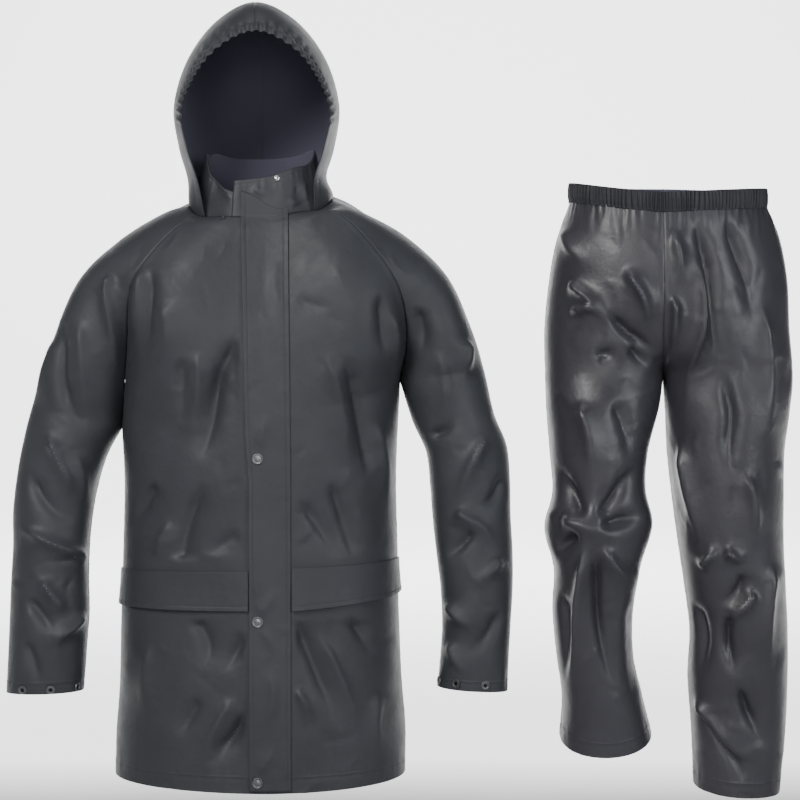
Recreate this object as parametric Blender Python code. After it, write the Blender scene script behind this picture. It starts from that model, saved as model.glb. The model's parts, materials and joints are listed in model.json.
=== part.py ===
"""Two-piece rain suit of coated cloth: a hooded raglan jacket and trousers with an elastic waist.

Every cut piece is one thin closed wall. The suit stands filled out, as worn, with its neck, hood,
cuffs, hems and waist open. +Z is up, the fronts face -Y, and the wearer's right is at -X.
The origin is the middle of the jacket's neck base, where the wearer's shoulders carry it.
"""
import math

import bmesh
import bpy
import numpy as np

MM = 0.001

# Cloth and seams
WALL = 1.6 * MM
FLAP_WALL = 2.0 * MM
SEAM = 0.4 * MM
LIFT = 0.4 * MM
FLAP_LIFT = 0.9 * MM
NECK_LIFT = 3.0 * MM

# The tables give each point as it shows on the plane y = 0 from this eye point, with its depth y
EYE_X = 207.0 * MM
EYE_Z = -277.5 * MM
EYE_AWAY = 2800.0 * MM

# Numbers of grid steps
RAGLAN_STEPS = 9
BODY_STEPS = 14
FRONT_COLUMNS = 8
FLAP_COLUMN = {"right": 0.10, "left": 0.135}
BACK_COLUMNS = 8
SLEEVE_STEPS = 17
SLEEVE_COLUMNS = 6
LEG_STEPS = 26
LEG_COLUMNS = 7
HOOD_FRONT_COLUMNS = 4
HOOD_BACK_COLUMNS = 3

# Gathers
HOOD_GATHERS = 16
HOOD_GATHER_DEPTH = 2.6 * MM
HOOD_GATHER_REACH = 0.22
HOOD_GATHER_START = 0.42
HOOD_RIDGE = 45.0 * MM
WAIST_GATHERS = 124
WAIST_GATHER_DEPTH = 2.2 * MM
WAISTBAND_HEIGHT = 29.0 * MM

# Snaps
SNAP_RADIUS = 7.6 * MM
SNAP_HEIGHT = 2.6 * MM
CUFF_SNAP_RADIUS = 6.4 * MM
STUD_RADIUS = 4.2 * MM
SNAP_SIDES = 10
COLLAR_STUD_STATION = 12.55
NECK_STUD_X = -58.5 * MM
NECK_STUD_ROW = 0.3
NECK_STUD_RADIUS = 3.4 * MM
CUFF_SNAP_ROWS_UP = 0.24
CUFF_SNAPS_X = {"right": (-359.0 * MM, -317.0 * MM, -278.0 * MM),
                "left": (267.0 * MM, 292.0 * MM, 335.0 * MM)}


def table(columns, *rows):
    """Named columns of a table: lengths in millimetres become metres, angles stay degrees."""
    found = {}
    for place, name in enumerate(columns.split()):
        unit = 1.0 if name.endswith("turn") else MM
        found[name] = np.array([row[place] for row in rows], float) * unit
    return found


# Middle line of the jacket's front, neck seam to hem
FRONT_MIDDLE = table(
    "x z y",
    (5, -3, -86), (5, -30, -97), (5, -95, -112), (5, -155, -122), (5, -225, -128), (5, -300, -131),
    (5, -400, -130), (5, -500, -128), (5, -610, -128), (5, -710, -131), (5, -790, -133), (5, -869, -134))

# Middle line of the jacket's back, neck seam to hem
BACK_MIDDLE = table(
    "x z y",
    (8, 38, 88), (8, 12, 104), (8, -45, 118), (8, -110, 125), (8, -180, 123), (8, -275, 117),
    (8, -385, 111), (8, -480, 110), (8, -575, 113), (8, -670, 117), (8, -740, 119), (8, -815, 121))

# Raglan seams, neck to armpit: how far the body and the sleeve turn towards the back at the seam
RAGLAN = {
    ("right", "front"): table(
        "x z y body_turn sleeve_turn",
        (-85.5, -3, -62, 35, 35), (-124.5, -15, -76, 25, 25), (-172, -63, -92, 30, 28),
        (-199, -111, -88, 45, 20), (-202.5, -195, -58, 70, -35), (-209, -318, -2, 90, -90)),
    ("right", "back"): table(
        "x z y body_turn sleeve_turn",
        (-76, 30, 66, 35, 35), (-112, 6, 84, 25, 25), (-162, -54, 100, 30, 28),
        (-192, -112, 94, 45, 20), (-201, -197, 60, 70, -35), (-209, -318, -2, 90, -90)),
    ("left", "front"): table(
        "x z y body_turn sleeve_turn",
        (76.5, 6, -62, 35, 35), (114, 4, -76, 25, 25), (163, -42, -92, 30, 28),
        (205, -106, -88, 45, 20), (217, -180, -58, 70, -35), (207, -250, -2, 90, -90)),
    ("left", "back"): table(
        "x z y body_turn sleeve_turn",
        (86, 34, 66, 35, 35), (122, 14, 84, 25, 25), (168, -40, 100, 30, 28),
        (203, -104, 94, 45, 20), (214, -178, 60, 70, -35), (207, -250, -2, 90, -90)),
}

# Side seams, armpit to hem
SIDE_SEAM = {
    "right": table(
        "x z y", (-209, -318, -2), (-205, -400, 4), (-207, -500, 5), (-210, -600, 5),
        (-212, -700, 5), (-217, -770, 5), (-218, -832, 5)),
    "left": table(
        "x z y", (207, -250, -2), (201, -385, 4), (203, -490, 5), (205, -590, 5),
        (209, -690, 5), (215, -765, 5), (214, -832, 5)),
}

# Outer line of each sleeve, neck to cuff, and how far the cloth swings forward and back from it
SLEEVE_TOP = {
    "right": table(
        "x z y fore aft",
        (-108, 15, 0, 40, 42), (-147, 2, 2, 48, 52), (-213, -39, 4, 60, 66), (-273, -99, 4, 72, 78),
        (-313, -193, 2, 82, 84), (-343, -285, 0, 86, 86), (-358, -345, -4, 84, 84),
        (-367, -397, -8, 82, 82), (-372, -445, -12, 80, 80), (-372, -495, -16, 78, 78),
        (-375, -547, -21, 76, 76), (-377, -600, -26, 74, 72), (-379, -645, -30, 70, 68),
        (-381, -685, -33, 64, 62), (-382, -714, -35, 56, 56)),
    "left": table(
        "x z y fore aft",
        (106, 24, 0, 40, 42), (147, 5, 2, 48, 52), (214, -31, 4, 60, 66), (277, -91, 4, 72, 78),
        (313, -168, 2, 82, 84), (333, -232, 0, 86, 86), (348, -297, -4, 84, 84),
        (367, -345, -8, 82, 82), (372, -397, -12, 80, 80), (373, -450, -16, 78, 78),
        (376, -505, -21, 76, 76), (376, -559, -26, 74, 72), (373, -612, -30, 70, 68),
        (370, -663, -33, 64, 62), (368, -712, -35, 56, 56)),
}

# Underarm seam of each sleeve, armpit to cuff
UNDERARM = {
    "right": table(
        "x z y",
        (-209, -318, -2), (-230, -355, -4), (-244, -397, -8), (-253, -442, -12), (-258, -487, -16),
        (-260, -540, -21), (-259, -592, -26), (-262, -637, -30), (-265, -679, -33), (-268, -711, -35)),
    "left": table(
        "x z y",
        (207, -250, -2), (226, -310, -4), (246, -355, -8), (252, -405, -12), (256, -457, -16),
        (262, -511, -21), (268, -562, -26), (270, -615, -30), (267, -664, -33), (263, -705, -35)),
}

# Cloth held at the sleeve's seam: how far the row runs on from it before it bends
SLEEVE_HOLD = table(
    "fore aft",
    (26, 28), (32, 34), (42, 44), (52, 56), (66, 68), (84, 84), (84, 84), (82, 82), (80, 80),
    (78, 78), (76, 76), (74, 72), (70, 68), (64, 62), (56, 56))

# Hood, neck to top: face edge as it shows, then the side's two guide points and the centre seam.
# The last row mirrors the one before the top, so that the two halves meet level.
HOOD_FACE = table(
    "x z y",
    (-75, -3, -62), (-86, 48, -74), (-103, 102, -84), (-112, 160, -92), (-87, 218, -97),
    (-50, 257, -98), (0, 277, -98), (50, 257, -98))
HOOD_SIDE = table(
    "fore_x fore_y fore_z aft_x aft_y aft_z seam_y seam_z",
    (-112, -20, 8, -104, 80, 28, 91, 48), (-116, -20, 50, -114, 118, 62, 118, 88),
    (-130, -15, 103, -134, 150, 118, 146, 148), (-136, -20, 166, -140, 160, 188, 153, 212),
    (-116, -28, 244, -118, 150, 256, 140, 262), (-66, -45, 300, -68, 100, 318, 110, 288),
    (0, -55, 330, 0, 46, 333, 88, 303), (66, -45, 300, 68, 100, 318, 110, 288))
HOOD_ROWS = 6
HOOD_MIDDLE_X = -10.0 * MM
HOOD_CENTRE = (HOOD_MIDDLE_X, 20.0 * MM, 190.0 * MM)

# Stand-up collar, wearer's right end round the back to the left end: share of the neck ring from
# the front middle, height over the seam, lean inwards, and how far inside the seam it starts
COLLAR = table(
    "share_turn height lean inset",
    (-0.045, 32, 8, 6.2), (0.02, 33, 8, 6.2), (0.09, 40, 9, 5.8), (0.155, 60, 14, 5.6), (0.2, 78, 19, 5.6),
    (0.3, 72, 21, 6.0), (0.4, 56, 12, 5.6), (0.5, 46, 8, 5.4), (0.6, 56, 12, 5.6), (0.7, 70, 22, 6.0),
    (0.8, 74, 20, 5.6), (0.86, 70, 15, 4.6), (0.93, 66, 11, 3.8), (1.0, 60, 9, 3.2), (1.075, 54, 8, 3.2))

# Outer line of each leg, waist seam to hem, with the swing forward and back, and the front's dip
LEG_OUTER = {
    "right": table(
        "x z y fore aft dip",
        (462, 18, 0, 55, 58, 0), (441, -42, 0, 62, 68, 0), (430, -105, 0, 66, 75, 0),
        (424, -172, -2, 75, 85, 0), (425, -235, -5, 95, 105, 0), (427, -292, -10, 112, 115, 0),
        (432, -355, -17, 106, 106, 0), (436, -415, -25, 98, 96, -3), (424, -469, -30, 94, 90, -3),
        (438, -530, -27, 86, 84, 4), (436, -592, -20, 80, 80, 12), (442, -660, -11, 78, 80, 18),
        (450, -720, -2, 80, 82, 23), (447, -780, 8, 82, 84, 27)),
    "left": table(
        "x z y fore aft dip",
        (756, 9, 0, 55, 58, 0), (775, -33, 0, 62, 68, 0), (787, -97, 0, 66, 75, 0),
        (790, -169, 0, 75, 85, 0), (795, -241, 0, 95, 105, 0), (790, -292, -2, 112, 115, 0),
        (782, -355, -4, 108, 108, 0), (781, -420, -6, 102, 100, 0), (781, -487, -6, 98, 96, 0),
        (784, -555, -3, 94, 92, 0), (787, -622, 2, 90, 90, 2), (787, -690, 7, 86, 88, 4),
        (784, -765, 12, 82, 84, 6), (775, -858, 17, 80, 82, 8)),
}

# Centre seam of the trousers, waist to crotch, front and back: turn and hold of the cloth there
RISE = {
    "front": table(
        "x z y turn hold",
        (603, 4, -92, 0, 75), (604, -70, -102, 0, 86), (604, -142, -99, 6, 80),
        (603, -202, -70, 34, 74), (601, -240, -6, 90, 94)),
    "back": table(
        "x z y turn hold",
        (603, 10, 95, 0, 78), (604, -60, 110, 0, 90), (604, -130, 112, 5, 86),
        (603, -195, 82, 30, 78), (601, -240, -6, 90, 94)),
}

# Inside leg seam, crotch to hem
INSEAM = {
    "right": table(
        "x z y turn hold",
        (601, -240, -6, 90, 94), (595, -287, -10, 90, 108), (578, -355, -17, 90, 106),
        (575, -412, -25, 90, 98), (585, -465, -30, 90, 94), (567, -526, -27, 90, 86),
        (556, -595, -20, 90, 80), (557, -660, -11, 90, 78), (570, -717, -2, 90, 80),
        (583, -772, 8, 90, 82)),
    "left": table(
        "x z y turn hold",
        (601, -240, -6, 90, 94), (605, -292, -4, 90, 108), (608, -355, -4, 90, 108),
        (615, -420, -6, 90, 102), (624, -487, -6, 90, 98), (634, -555, -3, 90, 94),
        (642, -622, 2, 90, 90), (639, -690, 7, 90, 86), (644, -765, 12, 90, 82),
        (648, -851, 17, 90, 80)),
}

# Largest folds, as they show from the front: start, middle and end, half width, height out
# (negative for a trough) at the start and at the end
FRONT_FOLDS = table(
    "x0 z0 x1 z1 x2 z2 width start end",
    # wearer's right chest and skirt of the jacket
    (-178, -74, -190, -150, -184, -216, 25, 13, 9), (-160, -80, -166, -150, -178, -240, 22, -12, -6),
    (-118, -205, -124, -260, -121, -330, 32, -9, -4), (-32, -180, -72, -265, -88, -370, 32, -10, -9),
    (-87, -398, -120, -495, -116, -590, 35, -10, -6), (-150, -398, -180, -440, -204, -482, 29, -10, -7),
    (-112, -600, -81, -645, -100, -690, 35, 9, 6), (-22, -628, -40, -660, -62, -690, 32, 9, 4),
    (-21, -740, -55, -800, -74, -845, 29, -13, -9), (-93, -722, -120, -750, -135, -790, 29, -9, -4),
    # wearer's left chest and skirt
    (178, -115, 184, -170, 186, -225, 25, -12, -6), (123, -207, 150, -320, 164, -430, 35, -10, -9),
    (102, -398, 128, -460, 138, -520, 32, 9, 6), (57, -430, 90, -475, 124, -520, 29, -9, -6),
    (46, -598, 90, -720, 128, -782, 38, -10, -7), (50, -710, 70, -735, 84, -765, 26, 7, 4),
    (134, -600, 150, -635, 172, -675, 32, -9, -4),
    # sleeve, wearer's right
    (-297, -146, -302, -240, -258, -338, 26, -12, -10), (-222, -92, -228, -190, -216, -240, 22, 12, 7),
    (-324, -322, -292, -404, -310, -425, 26, 13, 7), (-366, -466, -266, -512, -334, -540, 26, 13, 9),
    (-334, -545, -310, -580, -292, -612, 26, -10, -7), (-262, -594, -308, -642, -292, -690, 25, 10, 7),
    # sleeve, wearer's left
    (232, -136, 240, -180, 238, -220, 25, -12, -7), (308, -182, 304, -230, 296, -264, 26, 12, 9),
    (248, -333, 275, -325, 292, -290, 25, -10, -10), (338, -322, 288, -434, 290, -444, 26, 13, 12),
    (290, -444, 350, -500, 314, -564, 26, 12, 7), (322, -472, 300, -500, 270, -518, 23, -10, -7),
    # leg, wearer's right
    (458, -98, 488, -120, 518, -144, 25, 12, 9), (513, -144, 556, -182, 602, -214, 25, -12, -13),
    (542, -78, 567, -114, 582, -176, 25, 9, 7), (458, -146, 512, -140, 536, -182, 25, 9, 6),
    (498, -215, 520, -210, 536, -204, 22, -9, -9), (480, -458, 458, -412, 434, -364, 26, -4, -9),
    (500, -458, 534, -422, 574, -368, 26, -4, -11), (505, -468, 540, -462, 582, -448, 24, -4, -12),
    (478, -478, 455, -490, 426, -508, 24, -4, -10), (422, -448, 430, -456, 440, -468, 23, 13, 9),
    (484, -492, 474, -625, 455, -714, 26, 12, 7), (498, -492, 508, -610, 534, -729, 26, -12, -9),
    # leg, wearer's left
    (648, -3, 672, -110, 696, -260, 25, -10, -7), (657, -64, 655, -200, 632, -322, 26, 12, 7),
    (694, -3, 730, -98, 738, -176, 26, -10, -6), (616, -118, 618, -170, 610, -215, 23, 9, 6),
    (688, -248, 702, -368, 700, -388, 29, -12, -9), (662, -528, 700, -500, 706, -565, 29, 12, 9),
    (702, -592, 712, -690, 758, -808, 29, -12, -10), (646, -717, 700, -790, 752, -815, 28, 12, 10))

# Largest folds of the hidden side, in the same columns
BACK_FOLDS = table(
    "x0 z0 x1 z1 x2 z2 width start end",
    # back of the jacket and its sleeves
    (-40, -90, -20, -200, -36, -330, 38, -9, -6), (70, -100, 66, -220, 84, -350, 38, -9, -6),
    (-120, -380, -90, -480, -110, -600, 38, 9, 6), (120, -420, 96, -520, 118, -640, 38, 9, 6),
    (-50, -620, -66, -700, -60, -800, 35, -9, -9), (60, -600, 72, -700, 64, -805, 35, 9, 9),
    (-330, -300, -300, -380, -322, -470, 29, 10, 7), (330, -290, 304, -370, 322, -470, 29, 10, 7),
    # back of the trousers
    (540, -110, 520, -170, 470, -215, 29, 10, 7), (670, -105, 694, -170, 745, -215, 29, 10, 7),
    (470, -440, 510, -450, 560, -440, 23, 13, 10), (470, -480, 510, -492, 560, -484, 23, 12, 9),
    (655, -500, 700, -512, 760, -500, 23, 10, 9), (690, -560, 700, -660, 720, -780, 29, -10, -7))

# Storm flap: its two edges and, at each, how far it stands over the neck seam
FLAP_LEFT_X = -25.0 * MM
FLAP_RIGHT_X = 42.5 * MM
FLAP_LEFT_RISE = 36.0 * MM
FLAP_RIGHT_RISE = 10.0 * MM
FLAP_SNAP_X = -6.5 * MM
FLAP_SNAPS_Z = (-365.5 * MM, -610.5 * MM, -852.0 * MM)

# Pocket flaps: heights of the top and lower edge at the storm flap and at the side
POCKET_FLAP = {
    "right": {"inner_top": -535.0 * MM, "outer_top": -530.0 * MM,
              "inner_foot": -595.0 * MM, "outer_foot": -588.0 * MM},
    "left": {"inner_top": -531.0 * MM, "outer_top": -523.0 * MM,
             "inner_foot": -597.0 * MM, "outer_foot": -578.0 * MM},
}
POCKET_FLAP_LIFT = 1.6 * MM
FLAP_SIDE_GAP = 1.5 * MM
FLAP_BELLY = 1.2 * MM
FLAP_FOOT_Z = -866.0 * MM
POCKET_FLAP_Z = -560.0 * MM
POCKET_FLAP_HALF = 58.0 * MM
FLAP_CALM = 30.0 * MM
FLAP_MARGIN = 12.0 * MM
FOLD_DEPTH = 1.25
SEAM_CALM = 0.16

# Colours, roughness and metallic value of the finishes
FINISHES = {
    "jacket cloth": ((0.060, 0.064, 0.071), 0.42, 0.0),
    "trouser cloth": ((0.056, 0.058, 0.064), 0.36, 0.0),
    "snap metal": ((0.20, 0.20, 0.21), 0.35, 0.9),
    "stud metal": ((0.62, 0.62, 0.64), 0.25, 1.0),
}

ARMPIT = len(SIDE_SEAM["right"]["x"]) - 2
SIDES = {"right": -1.0, "left": 1.0}
FACES = {"front": -1.0, "back": 1.0}


def place(x, z, y):
    """The real point at depth y that shows at x, z on the plane y = 0."""
    near = 1.0 + y / EYE_AWAY
    return np.stack([EYE_X + (x - EYE_X) * near, y + 0.0 * x, EYE_Z + (z - EYE_Z) * near], -1)


def shown(points):
    """Where real points show on the plane y = 0."""
    near = 1.0 + points[..., 1] / EYE_AWAY
    return EYE_X + (points[..., 0] - EYE_X) / near, EYE_Z + (points[..., 2] - EYE_Z) / near


def through(values, t):
    """A smooth curve through a column's values, one value per whole step of t."""
    last = len(values) - 1
    t = np.clip(t, 0.0, last)
    i = np.minimum(t.astype(int), last - 1)
    f = t - i
    padded = np.concatenate([[2 * values[0] - values[1]], values, [2 * values[-1] - values[-2]]])
    before, start, end, after = (padded[i + shift] for shift in range(4))
    start_slope = (end - before) / 2
    end_slope = (after - start) / 2
    return ((2 * f ** 3 - 3 * f ** 2 + 1) * start + (f ** 3 - 2 * f ** 2 + f) * start_slope
            + (3 * f ** 2 - 2 * f ** 3) * end + (f ** 3 - f ** 2) * end_slope)


def at(columns, t):
    """Every column of a table at t."""
    return {name: through(values, t) for name, values in columns.items()}


def joined(upper, lower, t, corner):
    """Two tables that meet in a corner at row corner."""
    first = at({name: upper[name] for name in lower if name in upper}, np.minimum(t, corner))
    second = at({name: lower[name] for name in first}, np.maximum(t - corner, 0.0))
    return {name: np.where(t <= corner, first[name], second[name]) for name in first}


def curve(a, b, c, d, u):
    """Cubic row from a to d, guided by b and c."""
    u = u[..., None]
    v = 1.0 - u
    return v ** 3 * a + 3 * v * v * u * b + 3 * v * u * u * c + u ** 3 * d


def vector(x, y, z):
    return np.stack(np.broadcast_arrays(x, y, z), -1)


def soft_step(value):
    value = np.clip(value, 0.0, 1.0)
    return value * value * (3.0 - 2.0 * value)


def fold_height(folds, x, z):
    """How far a table's folds push the cloth out where it shows at x, z."""
    total = np.zeros_like(x)
    for row in range(len(folds["width"])):
        fold = {name: values[row] for name, values in folds.items()}
        nearest = np.full_like(x, 1.0)
        along = np.zeros_like(x)
        for step in np.linspace(0.0, 1.0, 13):
            bend = (1 - step) ** 2, 2 * step * (1 - step), step ** 2
            mid_x = 2 * fold["x1"] - (fold["x0"] + fold["x2"]) / 2
            mid_z = 2 * fold["z1"] - (fold["z0"] + fold["z2"]) / 2
            at_x = bend[0] * fold["x0"] + bend[1] * mid_x + bend[2] * fold["x2"]
            at_z = bend[0] * fold["z0"] + bend[1] * mid_z + bend[2] * fold["z2"]
            distance = np.hypot(x - at_x, z - at_z)
            closer = distance < nearest
            nearest = np.where(closer, distance, nearest)
            along = np.where(closer, step, along)
        height = fold["start"] + (fold["end"] - fold["start"]) * along
        ends = soft_step(along / 0.2 + 0.35) * soft_step((1 - along) / 0.2 + 0.2)
        total += FOLD_DEPTH * height * ends * np.exp(-(nearest / fold["width"]) ** 2)
    return total


def slopes(surface, u, t, t_last):
    """Unit normals of a surface by small steps, out of the side that u cross t faces."""
    step = 1e-3
    low_u, high_u = np.clip(u - step, 0, 1), np.clip(u + step, 0, 1)
    low_t, high_t = np.clip(t - step, 0, t_last), np.clip(t + step, 0, t_last)
    across = surface(high_u, t) - surface(low_u, t)
    down = surface(u, high_t) - surface(u, low_t)
    normal = np.cross(across, down)
    return normal / np.maximum(np.linalg.norm(normal, axis=-1, keepdims=True), 1e-12)


def folded(surface, t_last, outward, seam_u, flat=None):
    """Outer and inner points of a wall with its folds; they fade at the seam where u is seam_u."""
    def with_folds(u, t):
        points = surface(u, t)
        normal = slopes(surface, u, t, t_last) * outward
        x, z = shown(points)
        front = soft_step(-normal[..., 1] * 2.2)
        back = soft_step(normal[..., 1] * 2.2)
        height = front * fold_height(FRONT_FOLDS, x, z) + back * fold_height(BACK_FOLDS, x, z)
        height *= soft_step(np.abs(u - seam_u) / SEAM_CALM)
        if flat:
            height *= flat(x, z)
        return points + normal * height[..., None], points + normal * (height[..., None] - WALL)
    return with_folds


def calm_under_flaps(x, z):
    """The fronts lie smooth under the storm flap and the pocket flaps."""
    from_flap = np.abs(x - (FLAP_LEFT_X + FLAP_RIGHT_X) / 2) - (FLAP_RIGHT_X - FLAP_LEFT_X) / 2
    from_pocket = np.abs(z - POCKET_FLAP_Z) - POCKET_FLAP_HALF
    return soft_step((from_flap - FLAP_MARGIN) / FLAP_CALM) * soft_step(from_pocket / FLAP_CALM)


def body_half(side, face):
    """Half of the body's front or back: u runs from the middle line to the raglan or side seam."""
    middle = FRONT_MIDDLE if face == "front" else BACK_MIDDLE
    out = SIDES[side]
    forward = FACES[face]

    def surface(u, t):
        mid = at(middle, t)
        edge = joined(RAGLAN[side, face], SIDE_SEAM[side], t, ARMPIT)
        turn = np.radians(np.where(t < ARMPIT, through(RAGLAN[side, face]["body_turn"], t), 90.0))
        start = place(mid["x"], mid["z"], mid["y"])
        end = place(edge["x"], edge["z"], edge["y"])
        wide, deep, rise = np.abs(np.moveaxis(end - start, -1, 0))
        rise = end[..., 2] - start[..., 2]
        first = start + vector(out * 0.6 * wide, 0.0 * wide, 0.2 * rise)
        hold = 0.58 * (wide * np.cos(turn) + deep * np.sin(turn))
        second = end + vector(-out * np.cos(turn) * hold, forward * np.sin(turn) * hold, -0.2 * rise)
        return curve(start, first, second, end, u)
    return surface


def sleeve_half(side, face):
    """Half of a sleeve: u runs from the raglan or underarm seam to the outer line."""
    out = SIDES[side]
    forward = FACES[face]
    swing = "fore" if face == "front" else "aft"

    def surface(u, t):
        top = at(SLEEVE_TOP[side], t)
        seam = joined(RAGLAN[side, face], UNDERARM[side], t, ARMPIT)
        hold = through(SLEEVE_HOLD[swing], t)
        turn = np.radians(np.where(t < ARMPIT, through(RAGLAN[side, face]["sleeve_turn"], t), -90.0))
        start = place(seam["x"], seam["z"], seam["y"])
        end = place(top["x"], top["z"], top["y"])
        rise = end[..., 2] - start[..., 2]
        first = start + vector(out * np.cos(turn) * hold, -forward * np.sin(turn) * hold, 0.15 * rise)
        second = end + vector(0.0 * hold, forward * top[swing], -0.1 * rise)
        return curve(start, first, second, end, u)
    return surface


def leg_half(side, face):
    """Front or back of a leg: u runs from the centre or inside seam to the outer line."""
    out = SIDES[side]
    forward = FACES[face]
    swing = "fore" if face == "front" else "aft"
    crotch = len(RISE[face]["x"]) - 1

    def surface(u, t):
        outer = at(LEG_OUTER[side], t)
        seam = joined(RISE[face], INSEAM[side], t, crotch)
        turn = np.radians(seam["turn"])
        start = place(seam["x"], seam["z"], seam["y"])
        end = place(outer["x"], outer["z"], outer["y"])
        rise = end[..., 2] - start[..., 2]
        dip = forward * outer["dip"] * 4 / 3
        first = start + vector(out * np.cos(turn) * seam["hold"], forward * np.sin(turn) * seam["hold"],
                               0.2 * rise + dip)
        second = end + vector(0.0 * dip, forward * outer[swing], dip - 0.2 * rise)
        return curve(start, first, second, end, u)
    return surface


def neck_ring(side, share):
    """Point of the neck seam at a share of its half: 0 at the front middle, 1 at the back middle."""
    steps = np.linspace(0.0, 1.0, 40)
    top = np.zeros_like(steps)
    line = np.concatenate([
        body_half(side, "front")(steps, top), sleeve_half(side, "front")(steps, top),
        sleeve_half(side, "back")(steps[::-1], top), body_half(side, "back")(steps[::-1], top)])
    reach = np.concatenate([[0.0], np.cumsum(np.linalg.norm(np.diff(line, axis=0), axis=1))])
    return np.stack([np.interp(share * reach[-1], reach, line[:, axis]) for axis in range(3)], -1)


def ring_corners(side):
    """Shares of the neck ring at the front and back raglan seams."""
    steps = np.linspace(0.0, 1.0, 40)
    top = np.zeros_like(steps)
    runs = [body_half(side, "front"), sleeve_half(side, "front"),
            sleeve_half(side, "back"), body_half(side, "back")]
    lengths = [np.linalg.norm(np.diff(run(steps, top), axis=0), axis=1).sum() for run in runs]
    whole = sum(lengths)
    return lengths[0] / whole, 1.0 - lengths[3] / whole


def hood_half(side):
    """Half of the hood: u from the face edge to the centre seam, t from the neck to the top."""
    out = SIDES[side]
    corner = ring_corners(side)[0]

    def row(u, t):
        face = at(HOOD_FACE, t)
        rest = at(HOOD_SIDE, t)
        start = place(HOOD_MIDDLE_X - out * face["x"], face["z"], face["y"])
        first = vector(HOOD_MIDDLE_X - out * rest["fore_x"], rest["fore_y"], rest["fore_z"])
        second = vector(HOOD_MIDDLE_X - out * rest["aft_x"], rest["aft_y"], rest["aft_z"])
        end = vector(HOOD_MIDDLE_X + 0.0 * t, rest["seam_y"], rest["seam_z"])
        return curve(start, first, second, end, u)

    def surface(u, t):
        points = row(u, t)
        ring = neck_ring(side, corner + (1.0 - corner) * u)
        ring = ring + vector(0.0, 0.0, NECK_LIFT)
        drawn = 1.0 - soft_step(t / 1.4)
        return points + (ring - row(u, 0.0 * t)) * drawn[..., None]
    return surface


def new_material(name):
    colour, rough, metal = FINISHES[name]
    material = bpy.data.materials.new(name)
    material.use_nodes = True
    shader = material.node_tree.nodes["Principled BSDF"]
    shader.inputs["Base Color"].default_value = (*colour, 1.0)
    shader.inputs["Roughness"].default_value = rough
    shader.inputs["Metallic"].default_value = metal
    material.diffuse_color = (*colour, 1.0)
    return material


def add_object(name, bm, finish):
    """Turns a bmesh into a named object with its own material, faces pointing out."""
    bmesh.ops.recalc_face_normals(bm, faces=bm.faces)
    mesh = bpy.data.meshes.new(name)
    bm.to_mesh(mesh)
    bm.free()
    mesh.shade_smooth()
    mesh.set_sharp_from_angle(angle=math.radians(50))
    mesh.materials.append(new_material(finish))
    made = bpy.data.objects.new(name, mesh)
    bpy.context.scene.collection.objects.link(made)
    return made


def add_wall(name, outer, inner, finish, ring=False):
    """A closed wall between two grids of points; a ring's last column joins its first."""
    rows, columns = outer.shape[:2]
    bm = bmesh.new()
    skins = [[[bm.verts.new(point) for point in line] for line in grid] for grid in (outer, inner)]
    spans = columns if ring else columns - 1

    def quad(*corners):
        bm.faces.new(corners)

    for skin in skins:
        for r in range(rows - 1):
            for c in range(spans):
                n = (c + 1) % columns
                quad(skin[r][c], skin[r][n], skin[r + 1][n], skin[r + 1][c])
    front, back = skins
    for c in range(spans):
        n = (c + 1) % columns
        for r in (0, rows - 1):
            quad(front[r][c], front[r][n], back[r][n], back[r][c])
    if not ring:
        for r in range(rows - 1):
            for c in (0, columns - 1):
                quad(front[r][c], front[r + 1][c], back[r + 1][c], back[r][c])
    return add_object(name, bm, finish)


def drawn_in(points, edge_gaps):
    """Moves the first and last column or row of a grid inwards by half a seam gap."""
    moved = points.copy()
    for axis, end in edge_gaps:
        grid = moved if axis == 1 else moved.swapaxes(0, 1)
        edge = 0 if end == "first" else -1
        beside = 1 if end == "first" else -2
        away = grid[:, beside] - grid[:, edge]
        length = np.linalg.norm(away, axis=-1, keepdims=True)
        grid[:, edge] = grid[:, edge] + away / np.maximum(length, 1e-9) * SEAM / 2
    return moved


def even(count):
    """Evenly spaced shares from 0 to 1."""
    return np.linspace(0.0, 1.0, count + 1)


def add_panel(name, surface, columns, rows, outward, finish, seam_u, push=0.0, flat=None):
    """One cut piece between two seams, pushed sideways off the seam where u is seam_u."""
    shape = folded(surface, rows[-1], outward, seam_u, flat)
    u, t = np.meshgrid(columns, rows)
    gaps = [(1, "first"), (1, "last")]
    outer, inner = (drawn_in(points, gaps) for points in shape(u, t))
    column = -int(seam_u)
    outer[:, column, 0] += push
    inner[:, column, 0] += push
    add_wall(name, outer, inner, finish)


def body_rows():
    upper = np.linspace(0.0, ARMPIT, RAGLAN_STEPS + 1)
    lower = np.linspace(ARMPIT, len(FRONT_MIDDLE["x"]) - 1, BODY_STEPS + 1)
    return np.concatenate([upper, lower[1:]])


def sleeve_rows():
    upper = np.linspace(0.0, ARMPIT, RAGLAN_STEPS + 1)
    lower = np.linspace(ARMPIT, len(SLEEVE_HOLD["fore"]) - 1, SLEEVE_STEPS + 1)
    return np.concatenate([upper, lower[1:]])


def front_columns(side):
    """Columns of a front: the second runs just outside the storm flap's edge."""
    return np.concatenate([[0.0], np.linspace(FLAP_COLUMN[side], 1.0, FRONT_COLUMNS)])


def add_fronts():
    for side, out in SIDES.items():
        add_panel(f"front_{side}", body_half(side, "front"), front_columns(side), body_rows(), -out,
                  "jacket cloth", 1.0, -out * SEAM / 2, calm_under_flaps)


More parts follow.
